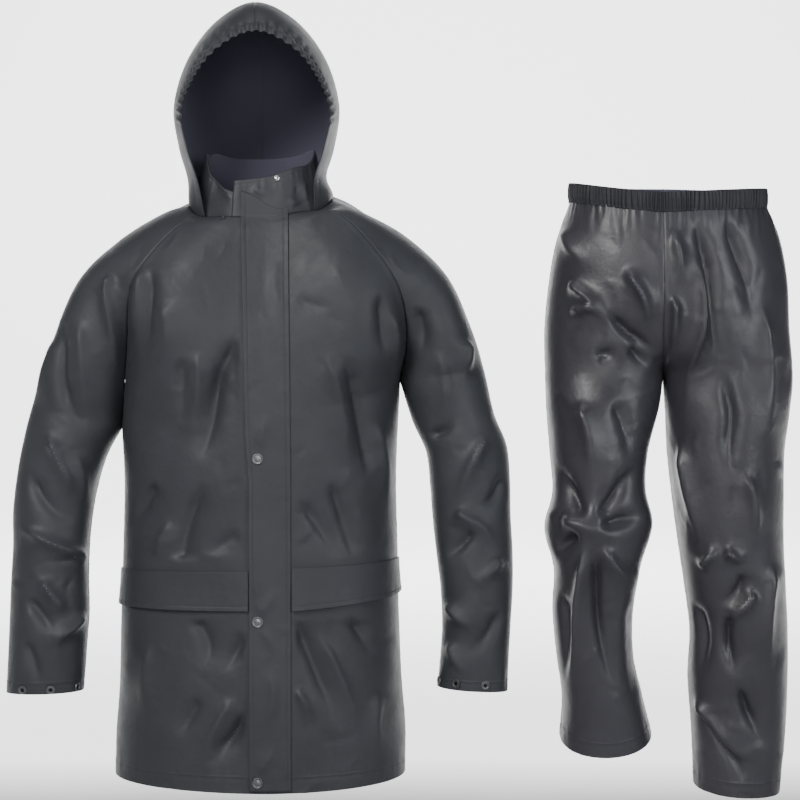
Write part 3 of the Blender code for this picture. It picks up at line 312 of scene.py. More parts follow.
# %%
FOLD_COLUMNS = "x0 z0 x1 z1 x2 z2 x3 z3 wide tall skew_share"
FRONT_CREASES = table(
    FOLD_COLUMNS,
    # wearer's right chest and skirt
    (-178, -74, -183, -119, -185, -166, -184, -216, 10, 7, -0.4),
    (-166, -78, -170, -131, -174, -185, -178, -240, 9, -6, 0.3),
    (-120, -210, -120, -247, -119, -284, -117, -322, 14, -5, 0.2),
    (-32, -178, -62, -234, -80, -296, -86, -364, 15, -8, 0.5),
    (-63, -213, -73, -292, -86, -346, -100, -374, 12, -6, -0.3),
    (-87, -398, -113, -463, -123, -528, -116, -592, 15, -7, 0.4),
    (-159, -398, -175, -426, -190, -454, -204, -482, 12, -6, 0.5),
    (-32, -476, -51, -489, -69, -501, -87, -512, 10, -4, 0),
    (-96, -202, -95, -247, -99, -294, -108, -345, 13, 5, -0.5),
    (-153, -128, -144, -164, -144, -214, -153, -278, 18, 5, 0.4),
    (-135, -458, -149, -483, -156, -506, -156, -526, 12, 4, 0.3),
    (-112, -598, -86, -630, -82, -660, -100, -690, 12, -6, 0.5),
    (-22, -626, -34, -649, -47, -670, -62, -690, 10, -6, -0.5),
    (-21, -740, -44, -780, -62, -804, -74, -843, 11, -9, 0.6),
    (-93, -723, -104, -747, -118, -768, -135, -788, 12, -5, -0.3),
    (-39, -723, -65, -759, -83, -803, -93, -855, 12, 5, 0.3),
    (-168, -638, -174, -688, -173, -738, -165, -788, 14, 4, -0.4),
    # wearer's left chest and skirt
    (178, -116, 182, -154, 184, -190, 186, -222, 9, -6, -0.4),
    (123, -207, 143, -285, 156, -359, 164, -428, 14, -8, 0.5),
    (102, -398, 118, -437, 130, -478, 138, -520, 12, -6, -0.5),
    (50, -122, 70, -134, 92, -138, 118, -150, 9, -1.5, 0.2),
    (57, -428, 79, -458, 101, -488, 124, -518, 12, -5, 0.4),
    (96, -202, 113, -263, 125, -322, 132, -382, 16, 5, 0.4),
    (195, -142, 200, -183, 201, -223, 198, -262, 9, 5, 0.3),
    (174, -308, 183, -356, 188, -411, 189, -472, 12, 4, 0.3),
    (46, -598, 72, -660, 99, -723, 128, -782, 14, -8, 0.5),
    (50, -710, 61, -726, 71, -744, 82, -762, 9, 5, -0.3),
    (134, -598, 141, -614, 154, -639, 172, -674, 11, -5, 0.4),
    (84, -622, 113, -684, 135, -739, 150, -788, 13, 5, -0.5),
    (177, -712, 171, -753, 173, -792, 183, -832, 12, 4, 0.3),
    # sleeve, wearer's right
    (-297, -146, -302, -240, -288, -288, -260, -336, 11, -7, 0.5),
    (-273, -154, -272, -207, -266, -258, -255, -308, 12, 5, -0.4),
    (-220, -92, -234, -111, -225, -192, -216, -240, 8, 7, 0.5),
    (-312, -180, -325, -215, -334, -250, -340, -284, 9, 6, 0.4),
    (-324, -322, -306, -368, -292, -404, -310, -424, 10, 8, 0.4),
    (-366, -466, -310, -495, -266, -514, -300, -532, 10, 8, -0.5),
    (-334, -544, -319, -567, -305, -588, -291, -610, 9, 7, 0.5),
    (-260, -594, -285, -620, -308, -642, -292, -692, 9, 7, -0.4),
    (-351, -382, -333, -420, -307, -447, -273, -464, 10, -6, 0.4),
    (-354, -572, -335, -594, -319, -614, -306, -628, 9, -6, 0.3),
    (-357, -638, -346, -659, -338, -684, -333, -712, 9, -5, -0.4),
    (-282, -352, -273, -383, -268, -412, -267, -442, 9, 4, 0.2),
    # sleeve, wearer's left
    (234, -136, 238, -164, 239, -190, 238, -218, 10, -7, 0.4),
    (308, -183, 308, -210, 306, -230, 297, -264, 9, 7, -0.5),
    (248, -333, 267, -327, 280, -316, 291, -290, 8, -7, 0.4),
    (338, -322, 320, -360, 304, -397, 288, -434, 10, 8, 0.5),
    (290, -444, 304, -452, 333, -472, 351, -502, 9, 7, -0.4),
    (351, -512, 350, -525, 333, -544, 315, -564, 9, 7, 0.4),
    (321, -472, 305, -489, 288, -504, 270, -519, 8, -7, -0.4),
    (360, -388, 354, -414, 339, -432, 318, -450, 8, -6, 0.4),
    (274, -578, 289, -600, 306, -614, 327, -620, 10, 6, 0.4),
    (360, -590, 344, -624, 324, -648, 300, -660, 9, -6, -0.5),
    (282, -638, 285, -658, 296, -677, 315, -694, 9, 5, 0.3),
    (267, -202, 275, -244, 275, -279, 267, -308, 11, 5, -0.3),
    # leg, wearer's right
    (458, -98, 478, -114, 498, -129, 518, -144, 9, 7, -0.4),
    (513, -144, 546, -176, 574, -196, 602, -214, 9, -8, 0.5),
    (549, -200, 560, -210, 571, -219, 582, -228, 8, -5, 0.2),
    (542, -78, 567, -114, 578, -146, 582, -176, 9, 7, 0.5),
    (459, -147, 484, -141, 506, -144, 536, -182, 8, 6, -0.3),
    (498, -214, 510, -210, 522, -207, 536, -204, 7, -5, 0),
    (483, -458, 470, -428, 453, -397, 434, -364, 11, -7, 0.4),
    (501, -454, 525, -424, 549, -395, 574, -368, 11, -8, -0.5),
    (507, -466, 532, -460, 557, -454, 582, -448, 10, -8, 0.4),
    (477, -478, 460, -490, 443, -500, 426, -508, 10, -8, -0.4),
    (420, -434, 421, -443, 423, -454, 428, -466, 10, 8, 0),
    (446, -452, 474, -464, 510, -476, 560, -492, 15, 6, 0),
    (484, -492, 474, -578, 468, -652, 454, -714, 9, 8, 0.5),
    (498, -492, 502, -578, 513, -652, 534, -729, 10, -8, 0.4),
    (510, -496, 527, -524, 547, -546, 570, -566, 10, 6, -0.3),
    (447, -562, 455, -611, 456, -666, 450, -728, 9, -5, 0.3),
    (555, -578, 563, -628, 563, -678, 555, -728, 9, -5, -0.3),
    (470, -278, 487, -314, 495, -364, 495, -428, 14, 6, 0.3),
    (447, -15, 458, -41, 473, -63, 492, -80, 12, 4, 0.3),
    (525, -278, 541, -306, 550, -341, 552, -382, 12, -5, 0.3),
    # leg, wearer's left
    (648, -3, 669, -82, 676, -172, 696, -261, 9, -7, 0.5),
    (657, -64, 666, -150, 645, -228, 632, -322, 9, 6, -0.4),
    (694, -3, 714, -52, 728, -98, 738, -176, 9, -7, 0.4),
    (616, -118, 620, -150, 618, -182, 610, -214, 8, 6, 0.3),
    (690, -230, 706, -300, 700, -352, 714, -410, 10, -6, -0.6),
    (657, -531, 668, -518, 679, -509, 692, -504, 8, 7, 0.4),
    (692, -504, 703, -508, 712, -516, 718, -526, 8, 7, -0.4),
    (722, -536, 718, -556, 704, -574, 676, -586, 9, -6, 0.4),
    (738, -560, 728, -582, 706, -600, 690, -604, 8, 5, 0.3),
    (702, -592, 696, -633, 702, -663, 710, -698, 9, -7, 0.4),
    (714, -705, 728, -740, 741, -766, 758, -808, 9, -7, -0.4),
    (646, -717, 675, -765, 708, -806, 752, -816, 9, 7, 0.5),
    (651, -736, 682, -784, 714, -825, 718, -854, 9, -6, 0.4),
    (750, -128, 760, -209, 762, -284, 756, -352, 12, 5, -0.4),
    (627, -338, 637, -400, 648, -452, 660, -495, 10, 6, 0.4),
    (645, -578, 657, -617, 660, -659, 654, -704, 10, -6, 0.3),
    (724, -382, 736, -428, 738, -472, 729, -518, 10, 5, 0.3),
    (615, -22, 625, -55, 627, -85, 621, -112, 11, 4, 0.2),
    (770, -518, 761, -578, 759, -638, 765, -698, 10, 5, -0.3))

BACK_CREASES = table(
    FOLD_COLUMNS,
    # back of the jacket
    (-150, -60, -170, -110, -178, -170, -172, -230, 11, 6, -0.4),
    (150, -60, 168, -110, 176, -160, 170, -214, 11, 6, 0.4),
    (-60, -90, -40, -160, -48, -230, -70, -300, 15, -7, 0.4),
    (66, -80, 74, -160, 60, -240, 84, -330, 15, -7, -0.4),
    (0, -60, 12, -130, 4, -200, -14, -280, 16, 5, 0.3),
    (-150, -250, -120, -310, -96, -370, -90, -440, 14, -7, 0.5),
    (140, -250, 118, -320, 126, -380, 100, -450, 14, -7, -0.5),
    (-30, -330, -24, -390, -40, -450, -34, -520, 14, 5, 0.2),
    (60, -380, 66, -440, 48, -500, 54, -560, 14, 5, -0.3),
    (-160, -470, -130, -520, -140, -590, -120, -650, 14, 6, 0.5),
    (150, -500, 128, -560, 140, -610, 120, -680, 14, 6, -0.5),
    (-90, -560, -70, -620, -86, -700, -70, -780, 15, -7, 0.4),
    (90, -600, 76, -660, 84, -730, 70, -800, 15, -7, -0.4),
    (0, -600, 10, -670, -6, -740, 6, -810, 15, 5, 0.2),
    (-190, -640, -176, -690, -184, -740, -170, -800, 12, 5, 0.3),
    (184, -650, 172, -700, 180, -750, 168, -806, 12, 5, -0.3),
    # backs of the sleeves
    (-330, -180, -310, -230, -318, -270, -300, -310, 10, -7, 0.4),
    (-350, -300, -320, -330, -290, -350, -262, -350, 10, 7, 0.5),
    (-352, -350, -330, -384, -300, -400, -270, -398, 9, 7, -0.4),
    (-350, -430, -320, -446, -300, -480, -310, -510, 10, -7, 0.4),
    (-360, -520, -330, -540, -300, -548, -276, -540, 9, 7, 0.4),
    (-340, -590, -320, -620, -330, -650, -300, -680, 9, -6, -0.4),
    (328, -170, 308, -220, 316, -260, 300, -300, 10, -7, -0.4),
    (350, -280, 322, -316, 290, -340, 262, -336, 10, 7, -0.5),
    (352, -340, 328, -370, 300, -390, 272, -384, 9, 7, 0.4),
    (350, -420, 322, -440, 300, -470, 312, -500, 10, -7, -0.4),
    (360, -510, 332, -530, 300, -540, 278, -530, 9, 7, -0.4),
    (340, -580, 322, -610, 330, -640, 300, -672, 9, -6, 0.4),
    # seat and backs of the legs
    (590, -150, 560, -180, 510, -206, 462, -214, 12, 8, 0.4),
    (586, -190, 560, -214, 520, -240, 470, -256, 11, -8, -0.4),
    (616, -150, 650, -180, 700, -204, 760, -212, 12, 8, -0.4),
    (620, -190, 650, -220, 700, -250, 756, -262, 11, -8, 0.4),
    (500, -60, 506, -100, 496, -140, 484, -176, 13, 5, 0.3),
    (700, -56, 694, -100, 708, -140, 720, -170, 13, 5, -0.3),
    (560, -260, 540, -300, 534, -350, 520, -390, 11, -7, 0.4),
    (640, -270, 670, -310, 684, -360, 700, -410, 11, -7, -0.4),
    (444, -420, 480, -440, 530, -440, 568, -424, 9, 9, 0.4),
    (440, -452, 480, -468, 530, -472, 570, -456, 9, 9, -0.4),
    (446, -490, 484, -500, 524, -504, 566, -486, 9, 8, 0.4),
    (640, -470, 690, -490, 730, -488, 772, -470, 9, 8, 0.4),
    (646, -506, 690, -520, 740, -520, 774, -502, 9, 8, -0.4),
    (480, -540, 470, -600, 486, -650, 476, -710, 10, -7, 0.4),
    (530, -540, 536, -600, 524, -660, 540, -720, 10, 6, -0.4),
    (690, -560, 700, -630, 690, -700, 704, -780, 11, -8, 0.4),
    (740, -560, 748, -620, 736, -690, 750, -760, 10, 6, -0.4))


def small_creases(seed, count, low, high, tall):
    """Short shallow creases, uneven in place, length and direction, always drawn the same."""
    draw = np.random.default_rng(seed)
    x = draw.uniform(low[0], high[0], count)
    z = draw.uniform(low[1], high[1], count)
    heading = draw.normal(math.pi / 2, 0.75, count)
    bend = draw.normal(0.0, 0.35, count)
    length = draw.uniform(22.0, 85.0, count) * MM
    found = {"x0": x, "z0": z}
    for step in (1, 2, 3):
        turned = heading + bend * step
        x = x + np.cos(turned) * length / 3
        z = z - np.sin(turned) * length / 3
        found[f"x{step}"] = x
        found[f"z{step}"] = z
    found["wide"] = draw.uniform(3.6, 7.5, count) * MM
    found["tall"] = draw.choice([-1.0, 1.0], count) * draw.uniform(0.35, 1.0, count) * tall
    found["skew_share"] = draw.uniform(-0.5, 0.5, count)
    return found


SMALL_JACKET_FRONT = small_creases(11, 260, (-0.39, -0.87), (0.39, 0.02), 1.7 * MM)
SMALL_JACKET_BACK = small_creases(12, 260, (-0.39, -0.87), (0.39, 0.05), 1.7 * MM)
SMALL_LEGS_FRONT = small_creases(13, 150, (0.41, -0.88), (0.81, 0.02), 1.8 * MM)
SMALL_LEGS_BACK = small_creases(14, 150, (0.41, -0.88), (0.81, 0.02), 1.8 * MM)
print("large creases", len(FRONT_CREASES["x0"]) + len(BACK_CREASES["x0"]))

# %% [markdown]
# ## Curves and surfaces
#
# A table column becomes a smooth curve. Two columns across from each other, with their guide
# points, become one row of a panel, and the rows make the panel's surface.

# %%
def place(x, z, y):
    """The real point at depth y that shows at x, z on the plane y = 0."""
    near = 1.0 + y / EYE_AWAY
    return np.stack([EYE_X + (x - EYE_X) * near, y + 0.0 * x, EYE_Z + (z - EYE_Z) * near], -1)


def shown(points):
    """Where real points show on the plane y = 0."""
    near = 1.0 + points[..., 1] / EYE_AWAY
    return EYE_X + (points[..., 0] - EYE_X) / near, EYE_Z + (points[..., 2] - EYE_Z) / near


def through(values, t):
    """A smooth curve through a column's values, one value per whole step of t."""
    last = len(values) - 1
    t = np.clip(t, 0.0, last)
    i = np.minimum(t.astype(int), last - 1)
    f = t - i
    padded = np.concatenate([[2 * values[0] - values[1]], values, [2 * values[-1] - values[-2]]])
    before, start, end, after = (padded[i + shift] for shift in range(4))
    start_slope = (end - before) / 2
    end_slope = (after - start) / 2
    return ((2 * f ** 3 - 3 * f ** 2 + 1) * start + (f ** 3 - 2 * f ** 2 + f) * start_slope
            + (3 * f ** 2 - 2 * f ** 3) * end + (f ** 3 - f ** 2) * end_slope)


def at(columns, t):
    """Every column of a table at t."""
    return {name: through(values, t) for name, values in columns.items()}


def joined(upper, lower, t, corner):
    """Two tables that meet in a corner at row corner."""
    first = at({name: upper[name] for name in lower if name in upper}, np.minimum(t, corner))
    second = at({name: lower[name] for name in first}, np.maximum(t - corner, 0.0))
    return {name: np.where(t <= corner, first[name], second[name]) for name in first}


def curve(a, b, c, d, u):
    """Cubic row from a to d, guided by b and c."""
    u = u[..., None]
    v = 1.0 - u
    return v ** 3 * a + 3 * v * v * u * b + 3 * v * u * u * c + u ** 3 * d


def vector(x, y, z):
    """Points from their three parts, each a number or an array."""
    return np.stack(np.broadcast_arrays(x, y, z), -1)


def soft_step(value):
    """0 below 0, 1 above 1, and a smooth rise between."""
    value = np.clip(value, 0.0, 1.0)
    return value * value * (3.0 - 2.0 * value)


def unit(vectors):
    """The same directions at length 1."""
    return vectors / np.maximum(np.linalg.norm(vectors, axis=-1, keepdims=True), 1e-12)


def run_along(points):
    """Distance along a line of points, from 0 at its first."""
    return np.concatenate([[0.0], np.cumsum(np.linalg.norm(np.diff(points, axis=0), axis=1))])


def at_share(line, share):
    """Points at shares of a line's whole length."""
    reach = run_along(line)
    return np.stack([np.interp(share * reach[-1], reach, line[:, axis]) for axis in range(3)], -1)


def slopes(surface, u, t, t_last):
    """Unit normals of a surface by small steps, out of the side that u cross t faces."""
    step = 1e-3
    low_u, high_u = np.clip(u - step, 0, 1), np.clip(u + step, 0, 1)
    low_t, high_t = np.clip(t - step, 0, t_last), np.clip(t + step, 0, t_last)
    across = surface(high_u, t) - surface(low_u, t)
    down = surface(u, high_t) - surface(u, low_t)
    return unit(np.cross(across, down))


def body_half(side, face):
    """Half of the body's front or back: u runs from the middle line to the raglan or side seam."""
    middle = FRONT_MIDDLE if face == "front" else BACK_MIDDLE
    out = SIDES[side]
    forward = FACES[face]

    def surface(u, t):
        mid = at(middle, t)
        edge = joined(RAGLAN[side, face], SIDE_SEAM[side], t, ARMPIT)
        turn = np.radians(np.where(t < ARMPIT, through(RAGLAN[side, face]["body_turn"], t), 90.0))
        start = place(mid["x"], mid["z"], mid["y"])
        end = place(edge["x"], edge["z"], edge["y"])
        wide, deep, rise = np.abs(np.moveaxis(end - start, -1, 0))
        rise = end[..., 2] - start[..., 2]
        first = start + vector(out * 0.6 * wide, 0.0 * wide, 0.2 * rise)
        hold = 0.58 * (wide * np.cos(turn) + deep * np.sin(turn))
        second = end + vector(-out * np.cos(turn) * hold, forward * np.sin(turn) * hold, -0.2 * rise)
        return curve(start, first, second, end, u)
    return surface


def sleeve_half(side, face):
    """Half of a sleeve: u runs from the raglan or underarm seam to the outer line."""
    out = SIDES[side]
    forward = FACES[face]
    swing = "fore" if face == "front" else "aft"

    def surface(u, t):
        top = at(SLEEVE_TOP[side], t)
        seam = joined(RAGLAN[side, face], UNDERARM[side], t, ARMPIT)
        hold = through(SLEEVE_HOLD[swing], t)
        turn = np.radians(np.where(t < ARMPIT, through(RAGLAN[side, face]["sleeve_turn"], t), -90.0))
        start = place(seam["x"], seam["z"], seam["y"])
        end = place(top["x"], top["z"], top["y"])
        rise = end[..., 2] - start[..., 2]
        first = start + vector(out * np.cos(turn) * hold, -forward * np.sin(turn) * hold, 0.15 * rise)
        second = end + vector(0.0 * hold, forward * top[swing], -0.1 * rise)
        return curve(start, first, second, end, u)
    return surface


def leg_half(side, face):
    """Front or back of a leg: u runs from the centre or inside seam to the outer line."""
    out = SIDES[side]
    forward = FACES[face]
    swing = "fore" if face == "front" else "aft"
    crotch = len(RISE[face]["x"]) - 1

    def surface(u, t):
        outer = at(LEG_OUTER[side], t)
        seam = joined(RISE[face], INSEAM[side], t, crotch)
        turn = np.radians(seam["turn"])
        start = place(seam["x"], seam["z"], seam["y"])
        end = place(outer["x"], outer["z"], outer["y"])
        rise = end[..., 2] - start[..., 2]
        dip = forward * outer["dip"] * 4 / 3
        first = start + vector(out * np.cos(turn) * seam["hold"], forward * np.sin(turn) * seam["hold"],
                               0.2 * rise + dip)
        second = end + vector(0.0 * dip, forward * outer[swing], dip - 0.2 * rise)
        return curve(start, first, second, end, u)
    return surface


def two_halves(first, second):
    """One surface from two that share the line where u is 1: u runs 0 to 1, then back out."""
    def surface(u, t):
        near = first(np.clip(u, 0.0, 1.0), t)
        far = second(np.clip(2.0 - u, 0.0, 1.0), t)
        return np.where((u <= 1.0)[..., None], near, far)
    return surface


def middle_out(first, second):
    """One surface from two halves that meet where their own u is 0."""
    def surface(u, t):
        near = first(np.clip(1.0 - u, 0.0, 1.0), t)
        far = second(np.clip(u - 1.0, 0.0, 1.0), t)
        return np.where((u <= 1.0)[..., None], near, far)
    return surface


# %% [markdown]
# ## Raising the creases
#
# The height at a point is the sum of every crease near it. The crest is rounded and the flanks
# fall away faster on one side. A crease starts narrow, where the cloth is held, and dies out wide.

# %%
JACKET_FOLD_GAIN = 1.7
TROUSER_FOLD_GAIN = 2.4
TROUSERS_FROM_X = 440.0 * MM
FOLD_SPREAD = 1.4
FOLD_REACH = 4.2
CREST = 0.025
FALL = 1.7
START_WIDTH = 0.7
WIDTH_GROWTH = 0.7
SKEW = 0.45
START_FADE = 0.22
END_FADE = 0.6


def crease_height(folds, x, z):
    """How far a table's creases push the cloth out where it shows at x, z."""
    total = np.zeros_like(x)
    steps = np.linspace(0.0, 3.0, 10)
    for row in range(len(folds["wide"])):
        fold = {name: values[row] for name, values in folds.items()}
        path_x = through(np.array([fold[f"x{n}"] for n in range(4)]), steps)
        path_z = through(np.array([fold[f"z{n}"] for n in range(4)]), steps)
        spread = FOLD_SPREAD * fold["wide"]
        reach = FOLD_REACH * spread
        close = ((x > path_x.min() - reach) & (x < path_x.max() + reach)
                 & (z > path_z.min() - reach) & (z < path_z.max() + reach))
        if not close.any():
            continue
        here_x, here_z = x[close], z[close]
        nearest = np.full_like(here_x, 1.0)
        along = np.zeros_like(here_x)
        hand = np.zeros_like(here_x)
        for n in range(len(steps) - 1):
            run_x, run_z = path_x[n + 1] - path_x[n], path_z[n + 1] - path_z[n]
            off_x, off_z = here_x - path_x[n], here_z - path_z[n]
            share = np.clip((off_x * run_x + off_z * run_z) / (run_x ** 2 + run_z ** 2), 0.0, 1.0)
            away_x, away_z = off_x - share * run_x, off_z - share * run_z
            distance = np.hypot(away_x, away_z)
            closer = distance < nearest
            nearest = np.where(closer, distance, nearest)
            along = np.where(closer, (n + share) / (len(steps) - 1), along)
            hand = np.where(closer, np.sign(run_x * away_z - run_z * away_x), hand)
        wide = spread * (START_WIDTH + WIDTH_GROWTH * along) * (1.0 + SKEW * fold["skew_share"] * hand)
        profile = np.exp(-FALL * (np.sqrt((nearest / wide) ** 2 + CREST) - math.sqrt(CREST)))
        ends = soft_step(along / START_FADE) * soft_step((1.0 - along) / END_FADE)
        total[close] += fold["tall"] * ends * profile
    return total


def pucker(along, seed):
    """An uneven small wave along a sewn line, from about -1 to 1."""
    draw = np.random.default_rng(seed)
    total = np.zeros_like(along)
    for length in (0.0093, 0.0137, 0.0211, 0.034):
        total += np.sin(2 * math.pi * along / length + draw.uniform(0, 6.28)) * draw.uniform(0.25, 0.5)
    return total


def seam_relief(distance, along, seed, allowance):
    """The dip at a sewn seam, the allowance folded under one side, and its puckers."""
    dip = -0.8 * MM * np.exp(-(distance / (1.5 * MM)) ** 2)
    ridge = allowance * (1.0 - soft_step((distance - 7.0 * MM) / (2.0 * MM)))
    return dip + ridge + 0.3 * MM * pucker(along, seed) * np.exp(-distance / (9.0 * MM))


def hem_relief(distance, along, depth, seed):
    """The doubled band of a hem, its stitched line and the puckers over it."""
    band = 0.5 * MM * (1.0 - soft_step((distance - depth) / (1.6 * MM)))
    line = -0.55 * MM * np.exp(-((distance - depth + HEM_STITCH_IN) / (1.2 * MM)) ** 2)
    calm = np.exp(-np.abs(distance - depth) / (12.0 * MM))
    return band + line + 0.45 * MM * pucker(along, seed) * calm


# %% [markdown]
# ## Grids and walls
#
# A panel's grid is spaced by real distance along the cloth, with closer lines at its seams, hems
# and stitched lines. The same distances become the panel's UVs, in metres.

# %%
CLOSE_LINES = (0.0, 0.8 * MM, 1.8 * MM, 3.2 * MM, 5.2 * MM, 7.0 * MM, 9.0 * MM)
MARK_LINES = (-2.6 * MM, -1.2 * MM, 0.0, 1.2 * MM, 2.6 * MM)


def spaced(length, step, ends=(True, True), marks=()):
    """Distances from 0 to length, about one step apart and closer at the ends and marks."""
    extra = [mark + shift for mark in marks for shift in MARK_LINES]
    extra += [line for line in CLOSE_LINES if ends[0]]
    extra += [length - line for line in CLOSE_LINES if ends[1]]
    extra = np.array(sorted(value for value in extra if 0.0 <= value <= length))
    plain = np.linspace(0.0, length, round(length / step) + 1)
    if len(extra):
        gap = np.abs(plain[:, None] - extra[None, :]).min(axis=1)
        plain = plain[(gap > 1.3 * MM) | (plain == 0.0) | (plain == length)]
    both = np.sort(np.concatenate([plain, extra]))
    return both[np.concatenate([[True], np.diff(both) > 0.3 * MM])]


def cloth_grid(surface, span, t_last, steps, outward, across_ends=(True, True),
               down_ends=(True, True), down_marks=(), across_marks=()):
    """Points, normals and distances of a panel's grid; steps are its spacing across and down."""
    fine_t = np.linspace(0.0, t_last, 500)
    reach = run_along(surface(np.full_like(fine_t, span / 2), fine_t))
    marks = [reach[-1] - mark if mark >= 0 else -mark for mark in down_marks]
    down = spaced(reach[-1], steps[1], down_ends, marks)
    t = np.interp(down, reach, fine_t)
    fine_u = np.linspace(0.0, span, 141)
    fine = surface(*np.meshgrid(fine_u, t))
    arc = np.cumsum(np.linalg.norm(np.diff(fine, axis=1), axis=2), axis=1)
    arc = np.concatenate([np.zeros((len(t), 1)), arc], axis=1)
    width = np.median(arc[:, -1])
    share = spaced(width, steps[0], across_ends, across_marks) / width
    across = share[None, :] * arc[:, -1:]
    u = np.stack([np.interp(across[r], arc[r], fine_u) for r in range(len(t))])
    t = np.broadcast_to(t[:, None], u.shape)
    point = surface(u, t)
    normal = unit(np.cross(np.gradient(point, axis=1), np.gradient(point, axis=0)) * outward)
    x, z = shown(point)
    cells = np.linalg.norm(np.cross(np.diff(point, axis=1)[:-1], np.diff(point, axis=0)[:, :-1]), axis=-1)
    return {"point": point, "normal": normal, "x": x, "z": z, "u": u, "t": t, "across": across,
            "far": arc[:, -1:] - across, "down": np.broadcast_to(down[:, None], u.shape),
            "foot": np.broadcast_to(reach[-1] - down[:, None], u.shape),
            "area": float(cells.sum()), "flat": (float(arc[:, -1].max()), float(reach[-1]))}


def creased(grid, small_front, small_back, seams, calm=1.0):
    """Height of the creases on a grid, front and back ones each on their own face."""
    facing = grid["normal"][..., 1]
    front = soft_step(-facing * 1.6)
    back = soft_step(facing * 1.6)
    x, z = grid["x"], grid["z"]
    gain = np.where(x > TROUSERS_FROM_X, TROUSER_FOLD_GAIN, JACKET_FOLD_GAIN)
    height = front * (gain * crease_height(FRONT_CREASES, x, z) + crease_height(small_front, x, z))
    height += back * (gain * crease_height(BACK_CREASES, x, z) + crease_height(small_back, x, z))
    for seam in seams:
        height *= soft_step(grid[seam] / SEAM_FADE)
    return height * calm


def wall_mesh(name, outer, inner, across, down, materials, ring=False):
    """A closed wall between two grids; the second material is for the inner skin."""
    rows, columns = outer.shape[:2]
    size = rows * columns
    index = np.arange(size).reshape(rows, columns)
    if ring:
        index = np.concatenate([index, index[:, :1]], axis=1)
    skin = np.stack([index[:-1, :-1], index[:-1, 1:], index[1:, 1:], index[1:, :-1]], -1).reshape(-1, 4)
    rims = [index[0][::-1], index[-1]]
    if not ring:
        rims += [index[:, 0], index[::-1, -1]]
    edges = [np.stack([rim[:-1], rim[1:], rim[1:] + size, rim[:-1] + size], -1) for rim in rims]
    faces = np.concatenate([skin, skin[:, ::-1] + size] + edges)
    mesh = bpy.data.meshes.new(name)
    mesh.from_pydata(np.concatenate([outer.reshape(-1, 3), inner.reshape(-1, 3)]).tolist(), [],
                     faces.tolist())
    lining = np.zeros(len(faces), dtype=np.int32)
    lining[len(skin):2 * len(skin)] = 1
    for material in materials:
        mesh.materials.append(material)
    mesh.polygons.foreach_set("material_index", lining)
    mesh.polygons.foreach_set("use_smooth", np.ones(len(faces), dtype=bool))
    corner = np.zeros(len(mesh.loops), dtype=np.int32)
    mesh.loops.foreach_get("vertex_index", corner)
    flat = np.stack([across.reshape(-1), down.reshape(-1)], -1)
    layer = mesh.uv_layers.new(name="cloth")
    layer.data.foreach_set("uv", flat[corner % size].astype(np.float32).reshape(-1))
    bm = bmesh.new()
    bm.from_mesh(mesh)
    bmesh.ops.recalc_face_normals(bm, faces=bm.faces)
    bm.to_mesh(mesh)
    bm.free()
    made = bpy.data.objects.new(name, mesh)
    bpy.context.scene.collection.objects.link(made)
    return made


GRIDS = {}


def add_cloth(name, node, grid, height, relief, materials,
              push=None, wall=WALL):
    """Turns a grid into a dressed piece: cloth skin, lining skin, place in the frame and its cut."""
    outer = grid["point"] + grid["normal"] * (height + relief)[..., None]
    inner = grid["point"] + grid["normal"] * (height - wall)[..., None]
    if push is not None:
        for column, shift in push:
            outer[:, column, 0] += shift
            inner[:, column, 0] += shift
    made = wall_mesh(name, outer, inner, grid["across"], grid["down"], materials)
    GRIDS[name] = {**grid, "outer": outer}
    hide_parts(node)
    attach(made, "root")
    return made


# %% [markdown]
# ## Materials
#
# The face is a satin coating over woven cloth: a fine grain and slow changes of gloss. The back
# is a matt knit. Both patterns sit in node groups that put out only colours, values and a normal;
# the shader stays in each material.

# %%
def group_socket(group, name, direction, kind, value=None):
    """A named input or output of a node group, with its first value."""
    socket = group.interface.new_socket(name=name, in_out=direction, socket_type=kind)
    if value is not None:
        socket.default_value = value
    return socket


def noise(nodes, links, vector_out, scale, detail, rough=0.5):
    """The value of a noise pattern at a position."""
    made = nodes.new("ShaderNodeTexNoise")
    made.inputs["Scale"].default_value = scale
    made.inputs["Detail"].default_value = detail
    made.inputs["Roughness"].default_value = rough
    links.new(vector_out, made.inputs["Vector"])
    return made.outputs["Fac"]


def ranged(nodes, links, value, low, high, from_low=0.3, from_high=0.7):
    made = nodes.new("ShaderNodeMapRange")
    made.inputs["From Min"].default_value = from_low
    made.inputs["From Max"].default_value = from_high
    made.inputs["To Min"].default_value = low
    made.inputs["To Max"].default_value = high
    links.new(value, made.inputs["Value"])
    return made.outputs["Result"]


